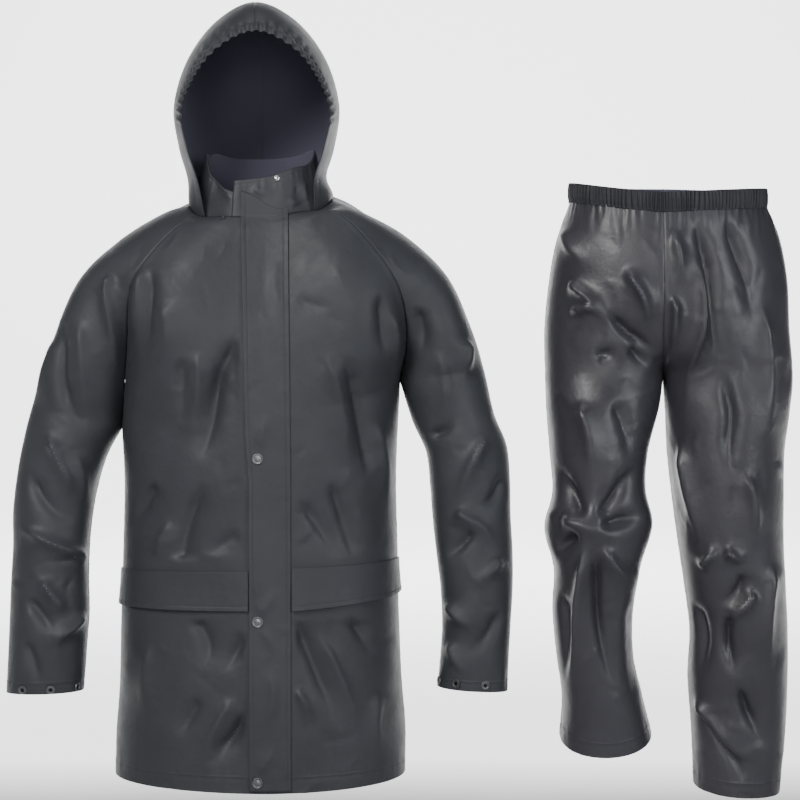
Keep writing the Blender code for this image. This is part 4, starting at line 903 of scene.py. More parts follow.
def coated_group():
    """Satin coating: colour with slow cloudy changes, uneven gloss, and a normal with fine grain."""
    group = bpy.data.node_groups.new("coated cloth", "ShaderNodeTree")
    group_socket(group, "Colour", "INPUT", "NodeSocketColor", (0.06, 0.06, 0.07, 1.0))
    group_socket(group, "Gloss low", "INPUT", "NodeSocketFloat", 0.36)
    group_socket(group, "Gloss high", "INPUT", "NodeSocketFloat", 0.48)
    group_socket(group, "Colour", "OUTPUT", "NodeSocketColor")
    group_socket(group, "Roughness", "OUTPUT", "NodeSocketFloat")
    group_socket(group, "Normal", "OUTPUT", "NodeSocketVector")
    nodes, links = group.nodes, group.links
    given = nodes.new("NodeGroupInput")
    out = nodes.new("NodeGroupOutput")
    place_in = nodes.new("ShaderNodeTexCoord").outputs["Object"]
    cloudy = ranged(nodes, links, noise(nodes, links, place_in, 9.0, 4.0, 0.6), 0.86, 1.14)
    shade = nodes.new("ShaderNodeVectorMath")
    shade.operation = "SCALE"
    links.new(given.outputs["Colour"], shade.inputs[0])
    links.new(cloudy, shade.inputs["Scale"])
    links.new(shade.outputs["Vector"], out.inputs["Colour"])
    gloss = nodes.new("ShaderNodeMapRange")
    gloss.inputs["From Min"].default_value = 0.32
    gloss.inputs["From Max"].default_value = 0.68
    links.new(noise(nodes, links, place_in, 38.0, 5.0, 0.65), gloss.inputs["Value"])
    links.new(given.outputs["Gloss low"], gloss.inputs["To Min"])
    links.new(given.outputs["Gloss high"], gloss.inputs["To Max"])
    links.new(gloss.outputs["Result"], out.inputs["Roughness"])
    sway = noise(nodes, links, place_in, 95.0, 3.0, 0.55)
    grain = noise(nodes, links, place_in, 1400.0, 2.0, 0.6)
    threads = nodes.new("ShaderNodeTexWave")
    threads.inputs["Scale"].default_value = 520.0
    threads.inputs["Distortion"].default_value = 0.6
    links.new(nodes.new("ShaderNodeUVMap").outputs["UV"], threads.inputs["Vector"])
    soft = nodes.new("ShaderNodeBump")
    soft.inputs["Strength"].default_value = 0.55
    soft.inputs["Distance"].default_value = 0.9 * MM
    links.new(sway, soft.inputs["Height"])
    fine = nodes.new("ShaderNodeBump")
    fine.inputs["Strength"].default_value = 0.3
    fine.inputs["Distance"].default_value = 0.09 * MM
    links.new(grain, fine.inputs["Height"])
    links.new(soft.outputs["Normal"], fine.inputs["Normal"])
    weave = nodes.new("ShaderNodeBump")
    weave.inputs["Strength"].default_value = 0.12
    weave.inputs["Distance"].default_value = 0.05 * MM
    links.new(threads.outputs["Fac"], weave.inputs["Height"])
    links.new(fine.outputs["Normal"], weave.inputs["Normal"])
    links.new(weave.outputs["Normal"], out.inputs["Normal"])
    return group


def knit_group():
    """Matt knit back: rows of small loops from two crossed waves on the cloth's own UVs."""
    group = bpy.data.node_groups.new("knit back", "ShaderNodeTree")
    group_socket(group, "Colour", "INPUT", "NodeSocketColor", (0.03, 0.03, 0.04, 1.0))
    group_socket(group, "Loop pitch", "INPUT", "NodeSocketFloat", 400.0)
    group_socket(group, "Colour", "OUTPUT", "NodeSocketColor")
    group_socket(group, "Normal", "OUTPUT", "NodeSocketVector")
    nodes, links = group.nodes, group.links
    given = nodes.new("NodeGroupInput")
    out = nodes.new("NodeGroupOutput")
    flat = nodes.new("ShaderNodeUVMap").outputs["UV"]
    waves = []
    for direction in ("X", "Y"):
        wave = nodes.new("ShaderNodeTexWave")
        wave.bands_direction = direction
        wave.inputs["Distortion"].default_value = 1.2
        links.new(flat, wave.inputs["Vector"])
        links.new(given.outputs["Loop pitch"], wave.inputs["Scale"])
        waves.append(wave.outputs["Fac"])
    loops = nodes.new("ShaderNodeMath")
    loops.operation = "MULTIPLY"
    links.new(waves[0], loops.inputs[0])
    links.new(waves[1], loops.inputs[1])
    bump = nodes.new("ShaderNodeBump")
    bump.inputs["Strength"].default_value = 0.5
    bump.inputs["Distance"].default_value = 0.25 * MM
    links.new(loops.outputs["Value"], bump.inputs["Height"])
    links.new(bump.outputs["Normal"], out.inputs["Normal"])
    light = ranged(nodes, links, loops.outputs["Value"], 0.75, 1.2, 0.0, 0.8)
    shade = nodes.new("ShaderNodeVectorMath")
    shade.operation = "SCALE"
    links.new(given.outputs["Colour"], shade.inputs[0])
    links.new(light, shade.inputs["Scale"])
    links.new(shade.outputs["Vector"], out.inputs["Colour"])
    return group


COATED = coated_group()
KNIT = knit_group()


def material(name, pattern=None, inputs=None, **shader_values):
    """A material on the standard shader, fed by a pattern group's colour, roughness and normal."""
    made = bpy.data.materials.new(name)
    made.use_nodes = True
    nodes, links = made.node_tree.nodes, made.node_tree.links
    shader = nodes["Principled BSDF"]
    for socket, value in shader_values.items():
        shader.inputs[socket.replace("_", " ")].default_value = value
    if pattern:
        group = nodes.new("ShaderNodeGroup")
        group.node_tree = pattern
        for socket, value in (inputs or {}).items():
            group.inputs[socket].default_value = value
        links.new(group.outputs["Colour"], shader.inputs["Base Color"])
        links.new(group.outputs["Normal"], shader.inputs["Normal"])
        if "Roughness" in group.outputs:
            links.new(group.outputs["Roughness"], shader.inputs["Roughness"])
    return made


JACKET_CLOTH = material("jacket cloth", COATED, {"Colour": (0.050, 0.053, 0.061, 1.0),
                        "Gloss low": 0.44, "Gloss high": 0.56}, Specular_IOR_Level=0.36)
TROUSER_CLOTH = material("trouser cloth", COATED, {"Colour": (0.046, 0.045, 0.055, 1.0),
                         "Gloss low": 0.34, "Gloss high": 0.46}, Specular_IOR_Level=0.6)
BAND_CLOTH = material("waistband cloth", COATED, {"Colour": (0.026, 0.026, 0.033, 1.0),
                      "Gloss low": 0.44, "Gloss high": 0.56}, Specular_IOR_Level=0.36)
# Painted light: the knit's colour is set lighter than its own, standing in for light that doesn't reach
# the lining inside the hood
KNIT_BACK = material("knit back", KNIT, {"Colour": (0.13, 0.13, 0.185, 1.0), "Loop pitch": 330.0},
                     Roughness=0.9, Sheen_Weight=0.1)
THREAD = material("sewing thread", KNIT, {"Colour": (0.05, 0.052, 0.06, 1.0), "Loop pitch": 1600.0},
                  Roughness=0.7)
COATED_BOTH = [JACKET_CLOTH, KNIT_BACK]
TROUSER_BOTH = [TROUSER_CLOTH, KNIT_BACK]
print("materials", len(bpy.data.materials))

# %% [markdown]
# ## Camera, floor and light
#
# The camera stands level in front of the suit, as the photographer's did. One large soft lamp at
# the upper left does most of the work. Weaker ones at the right, in front and above keep the rest
# from going black, and two light the backdrop, which glows a little behind the suit.

# %%
scene = bpy.context.scene
camera_data = bpy.data.cameras.new("camera")
camera_data.lens = 84.0
camera_data.sensor_width = 36.0
camera = bpy.data.objects.new("camera", camera_data)
camera.location = (EYE_X, -EYE_AWAY, EYE_Z)
camera.rotation_euler = (math.pi / 2, 0.0, 0.0)
scene.collection.objects.link(camera)
scene.camera = camera

FLOOR_Z = -0.93
FLOOR_SIZE = 14.0
BACKDROP_HEIGHT = 8.0
BACKDROP_BEND = 1.6
BACKDROP_GLOW = 2.3
GLOW_FROM_Y = -1.9
GLOW_FULL_Y = -1.4
bpy.ops.object.select_all(action="DESELECT")
bpy.ops.mesh.primitive_plane_add(size=FLOOR_SIZE, location=(0.2, 2.0, FLOOR_Z))
floor = bpy.context.object
floor.name = "floor"
bpy.ops.object.mode_set(mode="EDIT")
bpy.ops.mesh.select_all(action="DESELECT")
edge_mesh = bmesh.from_edit_mesh(floor.data)
for edge in edge_mesh.edges:
    edge.select = all(vert.co.y > FLOOR_SIZE / 2 - 0.1 for vert in edge.verts)
edge_mesh.select_flush(True)
bmesh.update_edit_mesh(floor.data)
bpy.ops.mesh.extrude_region_move(TRANSFORM_OT_translate={"value": (0.0, 0.0, BACKDROP_HEIGHT)})
bpy.ops.object.mode_set(mode="OBJECT")
backdrop_bend = floor.modifiers.new("bend", "BEVEL")
backdrop_bend.width = BACKDROP_BEND
backdrop_bend.segments = 16
backdrop_bend.limit_method = "ANGLE"
bpy.ops.object.modifier_apply(modifier=backdrop_bend.name)
bpy.ops.object.shade_smooth()
pale = material("pale floor", Base_Color=(0.5, 0.5, 0.51, 1.0), Roughness=0.9,
                Emission_Color=(1.0, 1.0, 1.0, 1.0))
pale_nodes, pale_links = pale.node_tree.nodes, pale.node_tree.links
apart = pale_nodes.new("ShaderNodeSeparateXYZ")
pale_links.new(pale_nodes.new("ShaderNodeTexCoord").outputs["Object"], apart.inputs["Vector"])
pale_links.new(ranged(pale_nodes, pale_links, apart.outputs["Y"], 0.0, BACKDROP_GLOW,
                      GLOW_FROM_Y, GLOW_FULL_Y),
               pale_nodes["Principled BSDF"].inputs["Emission Strength"])
floor.data.materials.append(pale)
floor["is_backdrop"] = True


def lamp(name, place_at, aim, wide, tall, power, colour=(1.0, 1.0, 1.0)):
    """A soft rectangular lamp at place_at, turned towards aim."""
    data = bpy.data.lights.new(name, "AREA")
    data.shape = "RECTANGLE"
    data.size = wide
    data.size_y = tall
    data.energy = power
    data.color = colour
    made = bpy.data.objects.new(name, data)
    made.location = place_at
    toward = Vector(aim) - Vector(place_at)
    made.rotation_euler = toward.to_track_quat("-Z", "Y").to_euler()
    scene.collection.objects.link(made)
    return made


lamp("key", (-1.2, -2.4, 1.5), (0.15, 0.0, -0.3), 1.1, 1.4, 60.0, (1.0, 0.99, 0.97))
lamp("fill", (2.4, -2.2, 0.4), (0.25, 0.0, -0.35), 0.9, 1.8, 27.0, (0.96, 0.98, 1.0))
lamp("front", (0.2, -3.6, 0.1), (0.15, 0.0, -0.2), 1.6, 1.2, 22.0)
lamp("top", (0.2, -0.3, 2.6), (0.2, 0.0, -0.3), 1.4, 1.0, 10.0)
lamp("backdrop left", (-1.2, 3.2, 2.4), (0.2, 8.0, 0.2), 2.5, 2.5, 420.0)
lamp("backdrop right", (1.8, 3.2, 2.4), (0.2, 8.0, 0.2), 2.5, 2.5, 420.0)
world = bpy.data.worlds.new("studio")
world.use_nodes = True
world.node_tree.nodes["Background"].inputs["Color"].default_value = (0.93, 0.95, 1.0, 1.0)
world.node_tree.nodes["Background"].inputs["Strength"].default_value = 0.08
scene.world = world

# %% [markdown]
# ## Jacket fronts
#
# Each front runs from the middle line, hidden by the storm flap, to the raglan and side seam. The
# creases die away under the flaps, which lie flat on smooth cloth.

# %%
FLAP_GAP = 2.0 * MM
FLAP_RAMP = 13.0 * MM
STORM_FLAP_WIDTH = 64.0 * MM
FLAP_MEASURED_COLUMN = 8
POCKET_FLAP_Z = -562.0 * MM
POCKET_FLAP_HALF = 42.0 * MM
POCKET_FLAP_WIDTH = 225.0 * MM
POCKET_FLAP_DEPTH = 62.0 * MM


def calm_under_flaps(x, z):
    """0 under the storm flap and pocket flaps, rising to 1 beside them."""
    left = np.interp(-z, -FLAP_EDGES["z"], FLAP_EDGES["left"])
    right = np.interp(-z, -FLAP_EDGES["z"], FLAP_EDGES["right"])
    beside = np.maximum(left - x, x - right)
    over = np.abs(z - POCKET_FLAP_Z) - POCKET_FLAP_HALF
    return soft_step((beside - FLAP_GAP) / FLAP_RAMP) * soft_step(over / FLAP_RAMP)


BODY_LAST = len(FRONT_MIDDLE["x"]) - 1
for side, out in SIDES.items():
    grid = cloth_grid(body_half(side, "front"), 1.0, BODY_LAST, (3.9 * MM, 4.3 * MM), -out,
                      (False, True), (False, True), (HEM_DEPTH,))
    calm = calm_under_flaps(grid["x"], grid["z"])
    height = creased(grid, SMALL_JACKET_FRONT, SMALL_JACKET_BACK, ["far"], calm)
    relief = (seam_relief(grid["far"], grid["down"], 21, 0.4 * MM)
              + hem_relief(grid["foot"], grid["across"], HEM_DEPTH, 22)) * np.maximum(calm, 0.15)
    add_cloth(f"front_{side}_cloth", f"front_{side}", grid, height, relief, COATED_BOTH,
              push=[(-1, -out * SEAM / 2), (0, out * SEAM / 2)])

# %% [markdown]
# ## Jacket back
#
# One piece from side seam to side seam. Its creases fan down from the shoulder blades and gather
# in the hollow of the waist.

# %%
back_surface = middle_out(body_half("right", "back"), body_half("left", "back"))
grid = cloth_grid(back_surface, 2.0, BODY_LAST, (4.3 * MM, 4.6 * MM), 1.0, (True, True), (False, True),
                  (HEM_DEPTH,))
height = creased(grid, SMALL_JACKET_FRONT, SMALL_JACKET_BACK, ["across", "far"])
relief = (seam_relief(grid["across"], grid["down"], 31, 0.4 * MM)
          + seam_relief(grid["far"], grid["down"], 32, 0.4 * MM)
          + hem_relief(grid["foot"], grid["across"], HEM_DEPTH, 33))
add_cloth("back_cloth", "back", grid, height, relief, COATED_BOTH,
          push=[(0, SEAM / 2), (-1, -SEAM / 2)])

# %% [markdown]
# ## Sleeves
#
# A raglan sleeve is one piece, joined under the arm. It bunches at the elbow in a zigzag of
# slanting folds and ends in a doubled cuff.

# %%
SLEEVE_LAST = len(SLEEVE_HOLD["fore"]) - 1
for side, out in SIDES.items():
    sleeve = two_halves(sleeve_half(side, "front"), sleeve_half(side, "back"))
    grid = cloth_grid(sleeve, 2.0, SLEEVE_LAST, (4.0 * MM, 4.2 * MM), -out, (True, True), (False, True),
                      (CUFF_DEPTH,))
    height = creased(grid, SMALL_JACKET_FRONT, SMALL_JACKET_BACK, ["across", "far"])
    height *= 0.35 + 0.65 * soft_step(grid["foot"] / (22.0 * MM))
    relief = (seam_relief(grid["across"], grid["down"], 41, 0.0)
              + seam_relief(grid["far"], grid["down"], 42, 0.0)
              + hem_relief(grid["foot"], grid["across"], CUFF_DEPTH, 43))
    add_cloth(f"sleeve_{side}_cloth", f"sleeve_{side}", grid, height, relief, COATED_BOTH,
              push=[(0, out * SEAM / 2), (-1, out * SEAM / 2)])

# %% [markdown]
# ## Hood
#
# Two halves join in a seam over the head. Elastic in a tunnel draws the edge up into short
# radiating gathers from cheek to cheek; below them the edge is a plain narrow fold.

# %%
def neck_ring(side, share):
    """Point of the neck seam at a share of its half: 0 at the front middle, 1 at the back middle."""
    steps = np.linspace(0.0, 1.0, 40)
    top = np.zeros_like(steps)
    line = np.concatenate([
        body_half(side, "front")(steps, top), sleeve_half(side, "front")(steps, top),
        sleeve_half(side, "back")(steps[::-1], top), body_half(side, "back")(steps[::-1], top)])
    return at_share(line, share)


def ring_corners(side):
    """Shares of the neck ring at the front and back raglan seams."""
    steps = np.linspace(0.0, 1.0, 40)
    top = np.zeros_like(steps)
    runs = [body_half(side, "front"), sleeve_half(side, "front"),
            sleeve_half(side, "back"), body_half(side, "back")]
    lengths = [np.linalg.norm(np.diff(run(steps, top), axis=0), axis=1).sum() for run in runs]
    whole = sum(lengths)
    return lengths[0] / whole, 1.0 - lengths[3] / whole


def hood_half(side):
    """Half of the hood: u from the face edge to the centre seam, t from the neck to the top."""
    out = SIDES[side]
    corner = ring_corners(side)[0]

    def row(u, t):
        face = at(HOOD_FACE, t)
        rest = at(HOOD_SIDE, t)
        start = place(HOOD_MIDDLE_X - out * face["x"], face["z"], face["y"])
        first = vector(HOOD_MIDDLE_X - out * rest["fore_x"], rest["fore_y"], rest["fore_z"])
        second = vector(HOOD_MIDDLE_X - out * rest["aft_x"], rest["aft_y"], rest["aft_z"])
        end = vector(HOOD_MIDDLE_X + 0.0 * t, rest["seam_y"], rest["seam_z"])
        return curve(start, first, second, end, u)

    def surface(u, t):
        points = row(u, t)
        ring = neck_ring(side, corner + (1.0 - corner) * u)
        ring = ring + vector(0.0, 0.0, NECK_LIFT)
        drawn = 1.0 - soft_step(t / 1.4)
        return points + (ring - row(u, 0.0 * t)) * drawn[..., None]
    return surface


HOOD_GATHER_START = 0.40
HOOD_RIDGE = 45.0 * MM


def hood_gathers(edge, along, start):
    """Radiating gathers of the elastic tunnel: edge is the distance from the face edge."""
    phase = along / HOOD_GATHER_PITCH + 0.35 * np.sin(along / 0.031) + 0.2 * np.sin(along / 0.0173 + 1.0)
    wave = np.sin(2 * math.pi * phase)
    wave = np.sign(wave) * np.abs(wave) ** 0.8
    reach = 1.0 - soft_step((edge - 5.0 * MM) / (34.0 * MM + 12.0 * MM * np.sin(along / 0.019)))
    tunnel = 1.9 * MM * np.sin(math.pi * np.clip(edge / HOOD_BAND, 0.0, 1.0))
    stitched = -1.3 * MM * np.exp(-((edge - HOOD_BAND) / (1.8 * MM)) ** 2)
    return start * (2.1 * MM * wave * reach + tunnel + stitched)


for side, out in SIDES.items():
    surface = hood_half(side)
    grid = cloth_grid(surface, 1.0, HOOD_ROWS, (3.6 * MM, 3.0 * MM), out, (True, True), (True, True),
                      (), (HOOD_BAND,))
    beside = np.clip(np.abs(grid["point"][..., 0] - HOOD_MIDDLE_X) / HOOD_RIDGE, 0.0, 1.0)[..., None]
    away = unit(grid["point"] - np.array(HOOD_CENTRE))
    grid["normal"] = grid["normal"] * beside + away * (1.0 - beside)
    grid["normal"][..., 0] *= beside[..., 0]
    grid["normal"] = unit(grid["normal"])
    along = run_along(grid["point"][:, 0])[:, None] + 0.0 * grid["across"]
    start = soft_step((grid["t"] / HOOD_ROWS - HOOD_GATHER_START) / 0.08)
    height = creased(grid, SMALL_JACKET_FRONT, SMALL_JACKET_BACK, ["across", "far", "foot", "down"]) * 0.6
    plain_edge = (1.0 - start) * (0.6 * MM * (1.0 - soft_step((grid["across"] - 9.0 * MM) / (1.6 * MM))))
    relief = (hood_gathers(grid["across"], along, start) + plain_edge
              + seam_relief(grid["far"], grid["down"], 51, 0.5 * MM)
              + seam_relief(grid["down"], grid["across"], 52, 0.0)
              - 0.7 * MM * np.exp(-(grid["foot"] / (1.5 * MM)) ** 2))
    add_cloth(f"hood_{side}_cloth", f"hood_{side}", grid, height + 0.8 * relief, 0.2 * relief,
              COATED_BOTH,
              push=[(-1, -out * SEAM_LAP)])

# %% [markdown]
# ## Collar
#
# The collar stands up inside the hood, its left end lapped over its right and held by one stud.

# %%
def collar_point(station, up):
    """A point of the collar: station along its table, up from 0 at the seam to 1 at its top edge."""
    row = at(COLLAR, station)
    share = row["share_turn"]
    right = neck_ring("right", np.clip(2 * share, 0.0, 1.0))
    left = neck_ring("left", np.clip(2 * (1.0 - share), 0.0, 1.0))
    under = neck_ring("left", np.clip(-2 * share, 0.0, 1.0))
    over = neck_ring("right", np.clip(2 * (share - 1.0), 0.0, 1.0))
    past_start = (share < 0)[..., None]
    past_end = (share > 1)[..., None]
    half = (share > 0.5)[..., None]
    ring = np.where(past_start, under, np.where(past_end, over, np.where(half, left, right)))
    inward = unit(ring * (-1.0, -1.0, 0.0))
    move = row["inset"] + row["lean"] * up
    height = NECK_LIFT + row["height"] * up
    return ring + inward * move[..., None] + vector(0.0, 0.0, height), inward


COLLAR_CREASES = table(
    FOLD_COLUMNS,
    (40, 26, 46, 20, 56, 14, 70, 10, 7, 4, 0.4), (44, 8, 54, 12, 64, 18, 74, 30, 6, -4, -0.3),
    (50, 44, 54, 34, 52, 24, 58, 12, 6, -3, 0.3), (66, 52, 62, 40, 66, 28, 62, 14, 6, 3, 0.4),
    (-80, 60, -70, 46, -66, 30, -70, 14, 8, -3, 0.4), (-52, 56, -56, 40, -48, 26, -52, 12, 7, 3, -0.4),
    (-14, 44, -4, 36, 10, 34, 24, 40, 7, 3, 0.3), (-30, 20, -18, 16, -6, 20, 8, 14, 6, -2.5, 0.2))

station, up = np.meshgrid(np.linspace(0, len(COLLAR["height"]) - 1, 260),
                          np.concatenate([np.linspace(1, 0.86, 7), np.linspace(0.83, 0.0, 17)]))
point, inward = collar_point(station, up)
x, z = shown(point)
step_along = np.linalg.norm(np.diff(point, axis=1), axis=2).mean(axis=0)
along = np.concatenate([[0.0], np.cumsum(step_along)])[None, :] + 0.0 * station
rise = through(COLLAR["height"], station) * up
to_top = through(COLLAR["height"], station) - rise
facing_front = soft_step(inward[..., 1] * 2.0)
height = facing_front * crease_height(COLLAR_CREASES, x, z) * soft_step(up / 0.25)
relief = hem_relief(to_top, along, 9.0 * MM, 61)
outer = point - inward * (height + relief)[..., None]
inner = point - inward * (height - WALL)[..., None]
collar = wall_mesh("collar_cloth", outer, inner, along, rise, COATED_BOTH)
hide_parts("collar")
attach(collar, "root")
collar_cut = (float(along.max()), float(COLLAR["height"].max()))
collar_cut[0] * float(through(COLLAR["height"], station[0]).mean())
print("collar cut", collar_cut)

# %% [markdown]
# ## Storm flap and pocket flaps
#
# Flaps are made from the fronts' own points, moved out. The storm flap is sewn down along one
# edge and stands a little off between its snaps along the other.

# %%
def share_showing(surface, out, x, t):
    """Share u of a row at which it shows at x; the row runs outwards, the way out points."""
    low = np.zeros_like(x)
    high = np.ones_like(x)
    for _ in range(24):
        half = (low + high) / 2
        beyond = out * (shown(surface(half, t))[0] - x) > 0
        high = np.where(beyond, half, high)
        low = np.where(beyond, low, half)
    return low


def front_point(x, t, lift):
    """Point of the jacket's smooth front that shows at x in row t, lifted off the cloth."""
    found = np.zeros(x.shape + (3,))
    normals = np.zeros_like(found)
    last = len(FRONT_MIDDLE["x"]) - 1
    for side, out in SIDES.items():
        base = body_half(side, "front")
        u = share_showing(base, out, x, t)
        here = (out * (x - FRONT_MIDDLE["x"][0]) >= 0)[..., None]
        normals = np.where(here, slopes(base, u, t, last) * -out, normals)
        found = np.where(here, base(u, t), found)
    return found + normals * lift[..., None], normals


def row_at_height(z):
    """Row of the jacket's front whose middle shows at z."""
    fine = np.linspace(0, len(FRONT_MIDDLE["z"]) - 1, 400)
    return np.interp(-z, -through(FRONT_MIDDLE["z"], fine), fine)


FLAP_CREASES = table(
    FOLD_COLUMNS,
    (-4, -140, 6, -162, 14, -176, 26, -200, 9, 1.5, 0.4),
    (-16, -250, -4, -262, 10, -270, 24, -268, 9, -2.5, 0.3),
    (-8, -352, 0, -330, 4, -310, 2, -290, 7, 2.5, 0.4),
    (-4, -600, 8, -586, 16, -572, 30, -566, 6, 2.5, 0.3),
    (-4, -622, 8, -632, 16, -648, 24, -668, 6, 2.5, -0.3),
    (-12, -606, -14, -590, -12, -574, -14, -560, 5, -2, 0.2),
    (14, -400, 22, -450, 18, -500, 26, -540, 9, -2.5, 0.4),
    (10, -680, 18, -720, 12, -760, 20, -800, 9, 3, -0.4),
    (-6, -840, 4, -824, 12, -810, 16, -790, 6, 2.5, 0.3),
    (24, -60, 18, -100, 24, -140, 20, -190, 10, 2.5, 0.3))


def flap_openness(z):
    """How far the free edge stands off, in shares: none at a snap, most half way between."""
    stops = np.array([0.03, *FLAP_SNAPS_Z])
    share = np.interp(-z, -stops, np.arange(len(stops)))
    return np.sin(math.pi * share) ** 2


def add_storm_flap():
    """The strip over the front opening, from above the neck seam to the hem."""
    foot = float(row_at_height(np.array([FLAP_FOOT_Z]))[0])
    width = STORM_FLAP_WIDTH
    share = spaced(width, 3.6 * MM, (True, True), (FLAP_STITCH_IN, width - FLAP_STITCH_IN)) / width
    row = np.concatenate([np.linspace(-1.0, 0.0, 12)[:-1], np.linspace(0.0, foot, 210)])
    share, row = np.meshgrid(share, row)
    middle_z = through(FRONT_MIDDLE["z"], np.maximum(row, 0.0))
    left = np.interp(-middle_z, -FLAP_EDGES["z"], FLAP_EDGES["left"])
    right = np.interp(-middle_z, -FLAP_EDGES["z"], FLAP_EDGES["right"])
    x = left + (right - left) * share
    point, normal = front_point(x, np.maximum(row, 0.0), np.full_like(x, FLAP_LIFT + FLAP_WALL))
    rise = FLAP_LEFT_RISE + (FLAP_RIGHT_RISE - FLAP_LEFT_RISE) * soft_step(share * 1.1)
    above = np.clip(-row, 0.0, 1.0) * rise
    point = point + vector(0.0, -0.02 * above, above)
    shown_x, shown_z = shown(point)
    down = run_along(point[:, FLAP_MEASURED_COLUMN])[:, None] + 0.0 * share
    free = share * width
    sewn = (1.0 - share) * width
    height = crease_height(FLAP_CREASES, shown_x, shown_z) * soft_step(sewn / (8.0 * MM))
    height += 0.5 * crease_height(SMALL_JACKET_FRONT, shown_x, shown_z) * soft_step(sewn / (8.0 * MM))
    height += 2.6 * MM * flap_openness(shown_z) * (1.0 - soft_step(free / (34.0 * MM)))
    height = np.maximum(height, -0.35 * MM)
    line = sum(-0.4 * MM * np.exp(-((edge - FLAP_STITCH_IN) / (1.2 * MM)) ** 2) for edge in (free, sewn))
    relief = line + 0.4 * MM * pucker(down, 71) * np.exp(-np.abs(sewn - FLAP_STITCH_IN) / (7.0 * MM))
    relief = relief + 0.3 * MM * (1.0 - soft_step((free - FLAP_STITCH_IN) / (1.6 * MM)))
    outer = point + normal * (height + relief)[..., None]
    inner = point + normal * (height - FLAP_WALL)[..., None]
    made = wall_mesh("storm_flap_cloth", outer, inner, free, down, COATED_BOTH)
    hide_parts("storm_flap")
    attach(made, "root")
    GRIDS["storm_flap_cloth"] = {"outer": outer, "across": free, "far": sewn, "normal": normal}


def add_pocket_flap(side, out):
    """A pocket flap from the storm flap's edge to the side seam, hanging free below."""
    sizes = POCKET_FLAP[side]
    base = body_half(side, "front")
    middle_row = row_at_height(np.array([POCKET_FLAP_Z]))
    edge = FLAP_EDGES["left" if side == "right" else "right"]
    middle_edge = np.interp(-POCKET_FLAP_Z, -FLAP_EDGES["z"], edge)
    first = float(share_showing(base, out, np.array([middle_edge + out * 1.2 * MM]), middle_row)[0])
    spots = spaced(POCKET_FLAP_WIDTH, 3.8 * MM, (True, True))
    columns = first + (1.0 - first) * spots / POCKET_FLAP_WIDTH
    deep = POCKET_FLAP_DEPTH
    share_down = spaced(deep, 3.6 * MM, (True, True), (deep - POCKET_STITCH_UP,)) / deep
    u, down = np.meshgrid(columns, share_down)
    top = sizes["inner_top"] + (sizes["outer_top"] - sizes["inner_top"]) * u
    foot = sizes["inner_foot"] + (sizes["outer_foot"] - sizes["inner_foot"]) * u
    row = row_at_height(top + (foot - top) * down)
    point = base(u, row)
    normal = unit(np.cross(np.gradient(point, axis=1), np.gradient(point, axis=0)) * -out)
    run = np.cumsum(np.linalg.norm(np.diff(point, axis=1), axis=2), axis=1)
    across = np.concatenate([np.zeros((len(point), 1)), run], axis=1)
    lift = FLAP_LIFT + FLAP_WALL + POCKET_FLAP_LIFT * down
    lift = lift + 2.4 * MM * down ** 2 * (0.5 + 0.5 * np.sin(across / 0.041 + 1.2 * out)) ** 2
    x, z = shown(point)
    height = lift + 0.5 * crease_height(SMALL_JACKET_FRONT, x, z) * soft_step(down / 0.2)
    hang = (1.0 - down) * deep
    relief = -0.45 * MM * np.exp(-((hang - POCKET_STITCH_UP) / (1.2 * MM)) ** 2)
    relief += 0.35 * MM * (1.0 - soft_step((hang - POCKET_STITCH_UP) / (1.6 * MM)))
    relief += 0.3 * MM * pucker(across, 81) * np.exp(-np.abs(hang - POCKET_STITCH_UP) / (8.0 * MM))
    outer = point + normal * (height + relief)[..., None]
    inner = point + normal * (height - FLAP_WALL)[..., None]
    made = wall_mesh(f"pocket_flap_{side}_cloth", outer, inner, across, down * deep, COATED_BOTH)
    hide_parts(f"pocket_flap_{side}")
    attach(made, "root")
    GRIDS[made.name] = {"outer": outer, "foot": hang, "normal": normal, "across": across}
    print("pocket flap cut", round(float(across.max()), 3), "x", deep)


add_storm_flap()
for side, out in SIDES.items():
    add_pocket_flap(side, out)

# %% [markdown]
# ## Trousers
#
# Four leg panels meet in a rise seam, inside leg seams and side seams. The gathers of the waist
# run out below the band, and the knees hold the star of creases that wear puts there.

# %%
LEG_LAST = len(LEG_OUTER["right"]["x"]) - 1
CROTCH_ROW = len(RISE["front"]["x"]) - 1
BLEND_ROWS = 0.55


def eased_leg(side, face):
    """A leg panel whose rows flow past the crotch; only its centre and inside seam keeps the corner."""
    sharp = leg_half(side, face)

    def surface(u, t):
        reach = BLEND_ROWS * soft_step(u / 0.3) * soft_step((1.0 - u) / 0.25)
        reach = reach * np.minimum(1.0, np.minimum(t, LEG_LAST - t) / BLEND_ROWS)
        total = 0.0
        for shift, weight in ((-1.0, 1.0), (-0.66, 2.0), (-0.33, 3.0), (0.0, 4.0), (0.33, 3.0),
                              (0.66, 2.0), (1.0, 1.0)):
            total = total + weight / 16.0 * sharp(u, t + shift * reach)
        return total
    return surface


TUCK_DEPTH = 9.0 * MM
TUCK_RISE = 6.0 * MM


def waist_gathers(across, down, seed):
    """Soft pleats that run down from the elastic and die out unevenly."""
    draw = np.random.default_rng(seed)
    total = np.zeros_like(across)
    spot = 6.0 * MM
    while spot < across.max():
        long = draw.uniform(22.0, 78.0) * MM
        wide = draw.uniform(3.4, 5.6) * MM
        sway = spot + draw.normal(0.0, 0.10) * down
        fade = 1.0 - soft_step(down / long)
        total += draw.uniform(1.2, 2.6) * MM * fade * np.exp(-((across - sway) / wide) ** 2)
        spot += draw.uniform(9.5, 15.0) * MM
    return total - 1.0 * MM * (1.0 - soft_step(down / (30.0 * MM)))


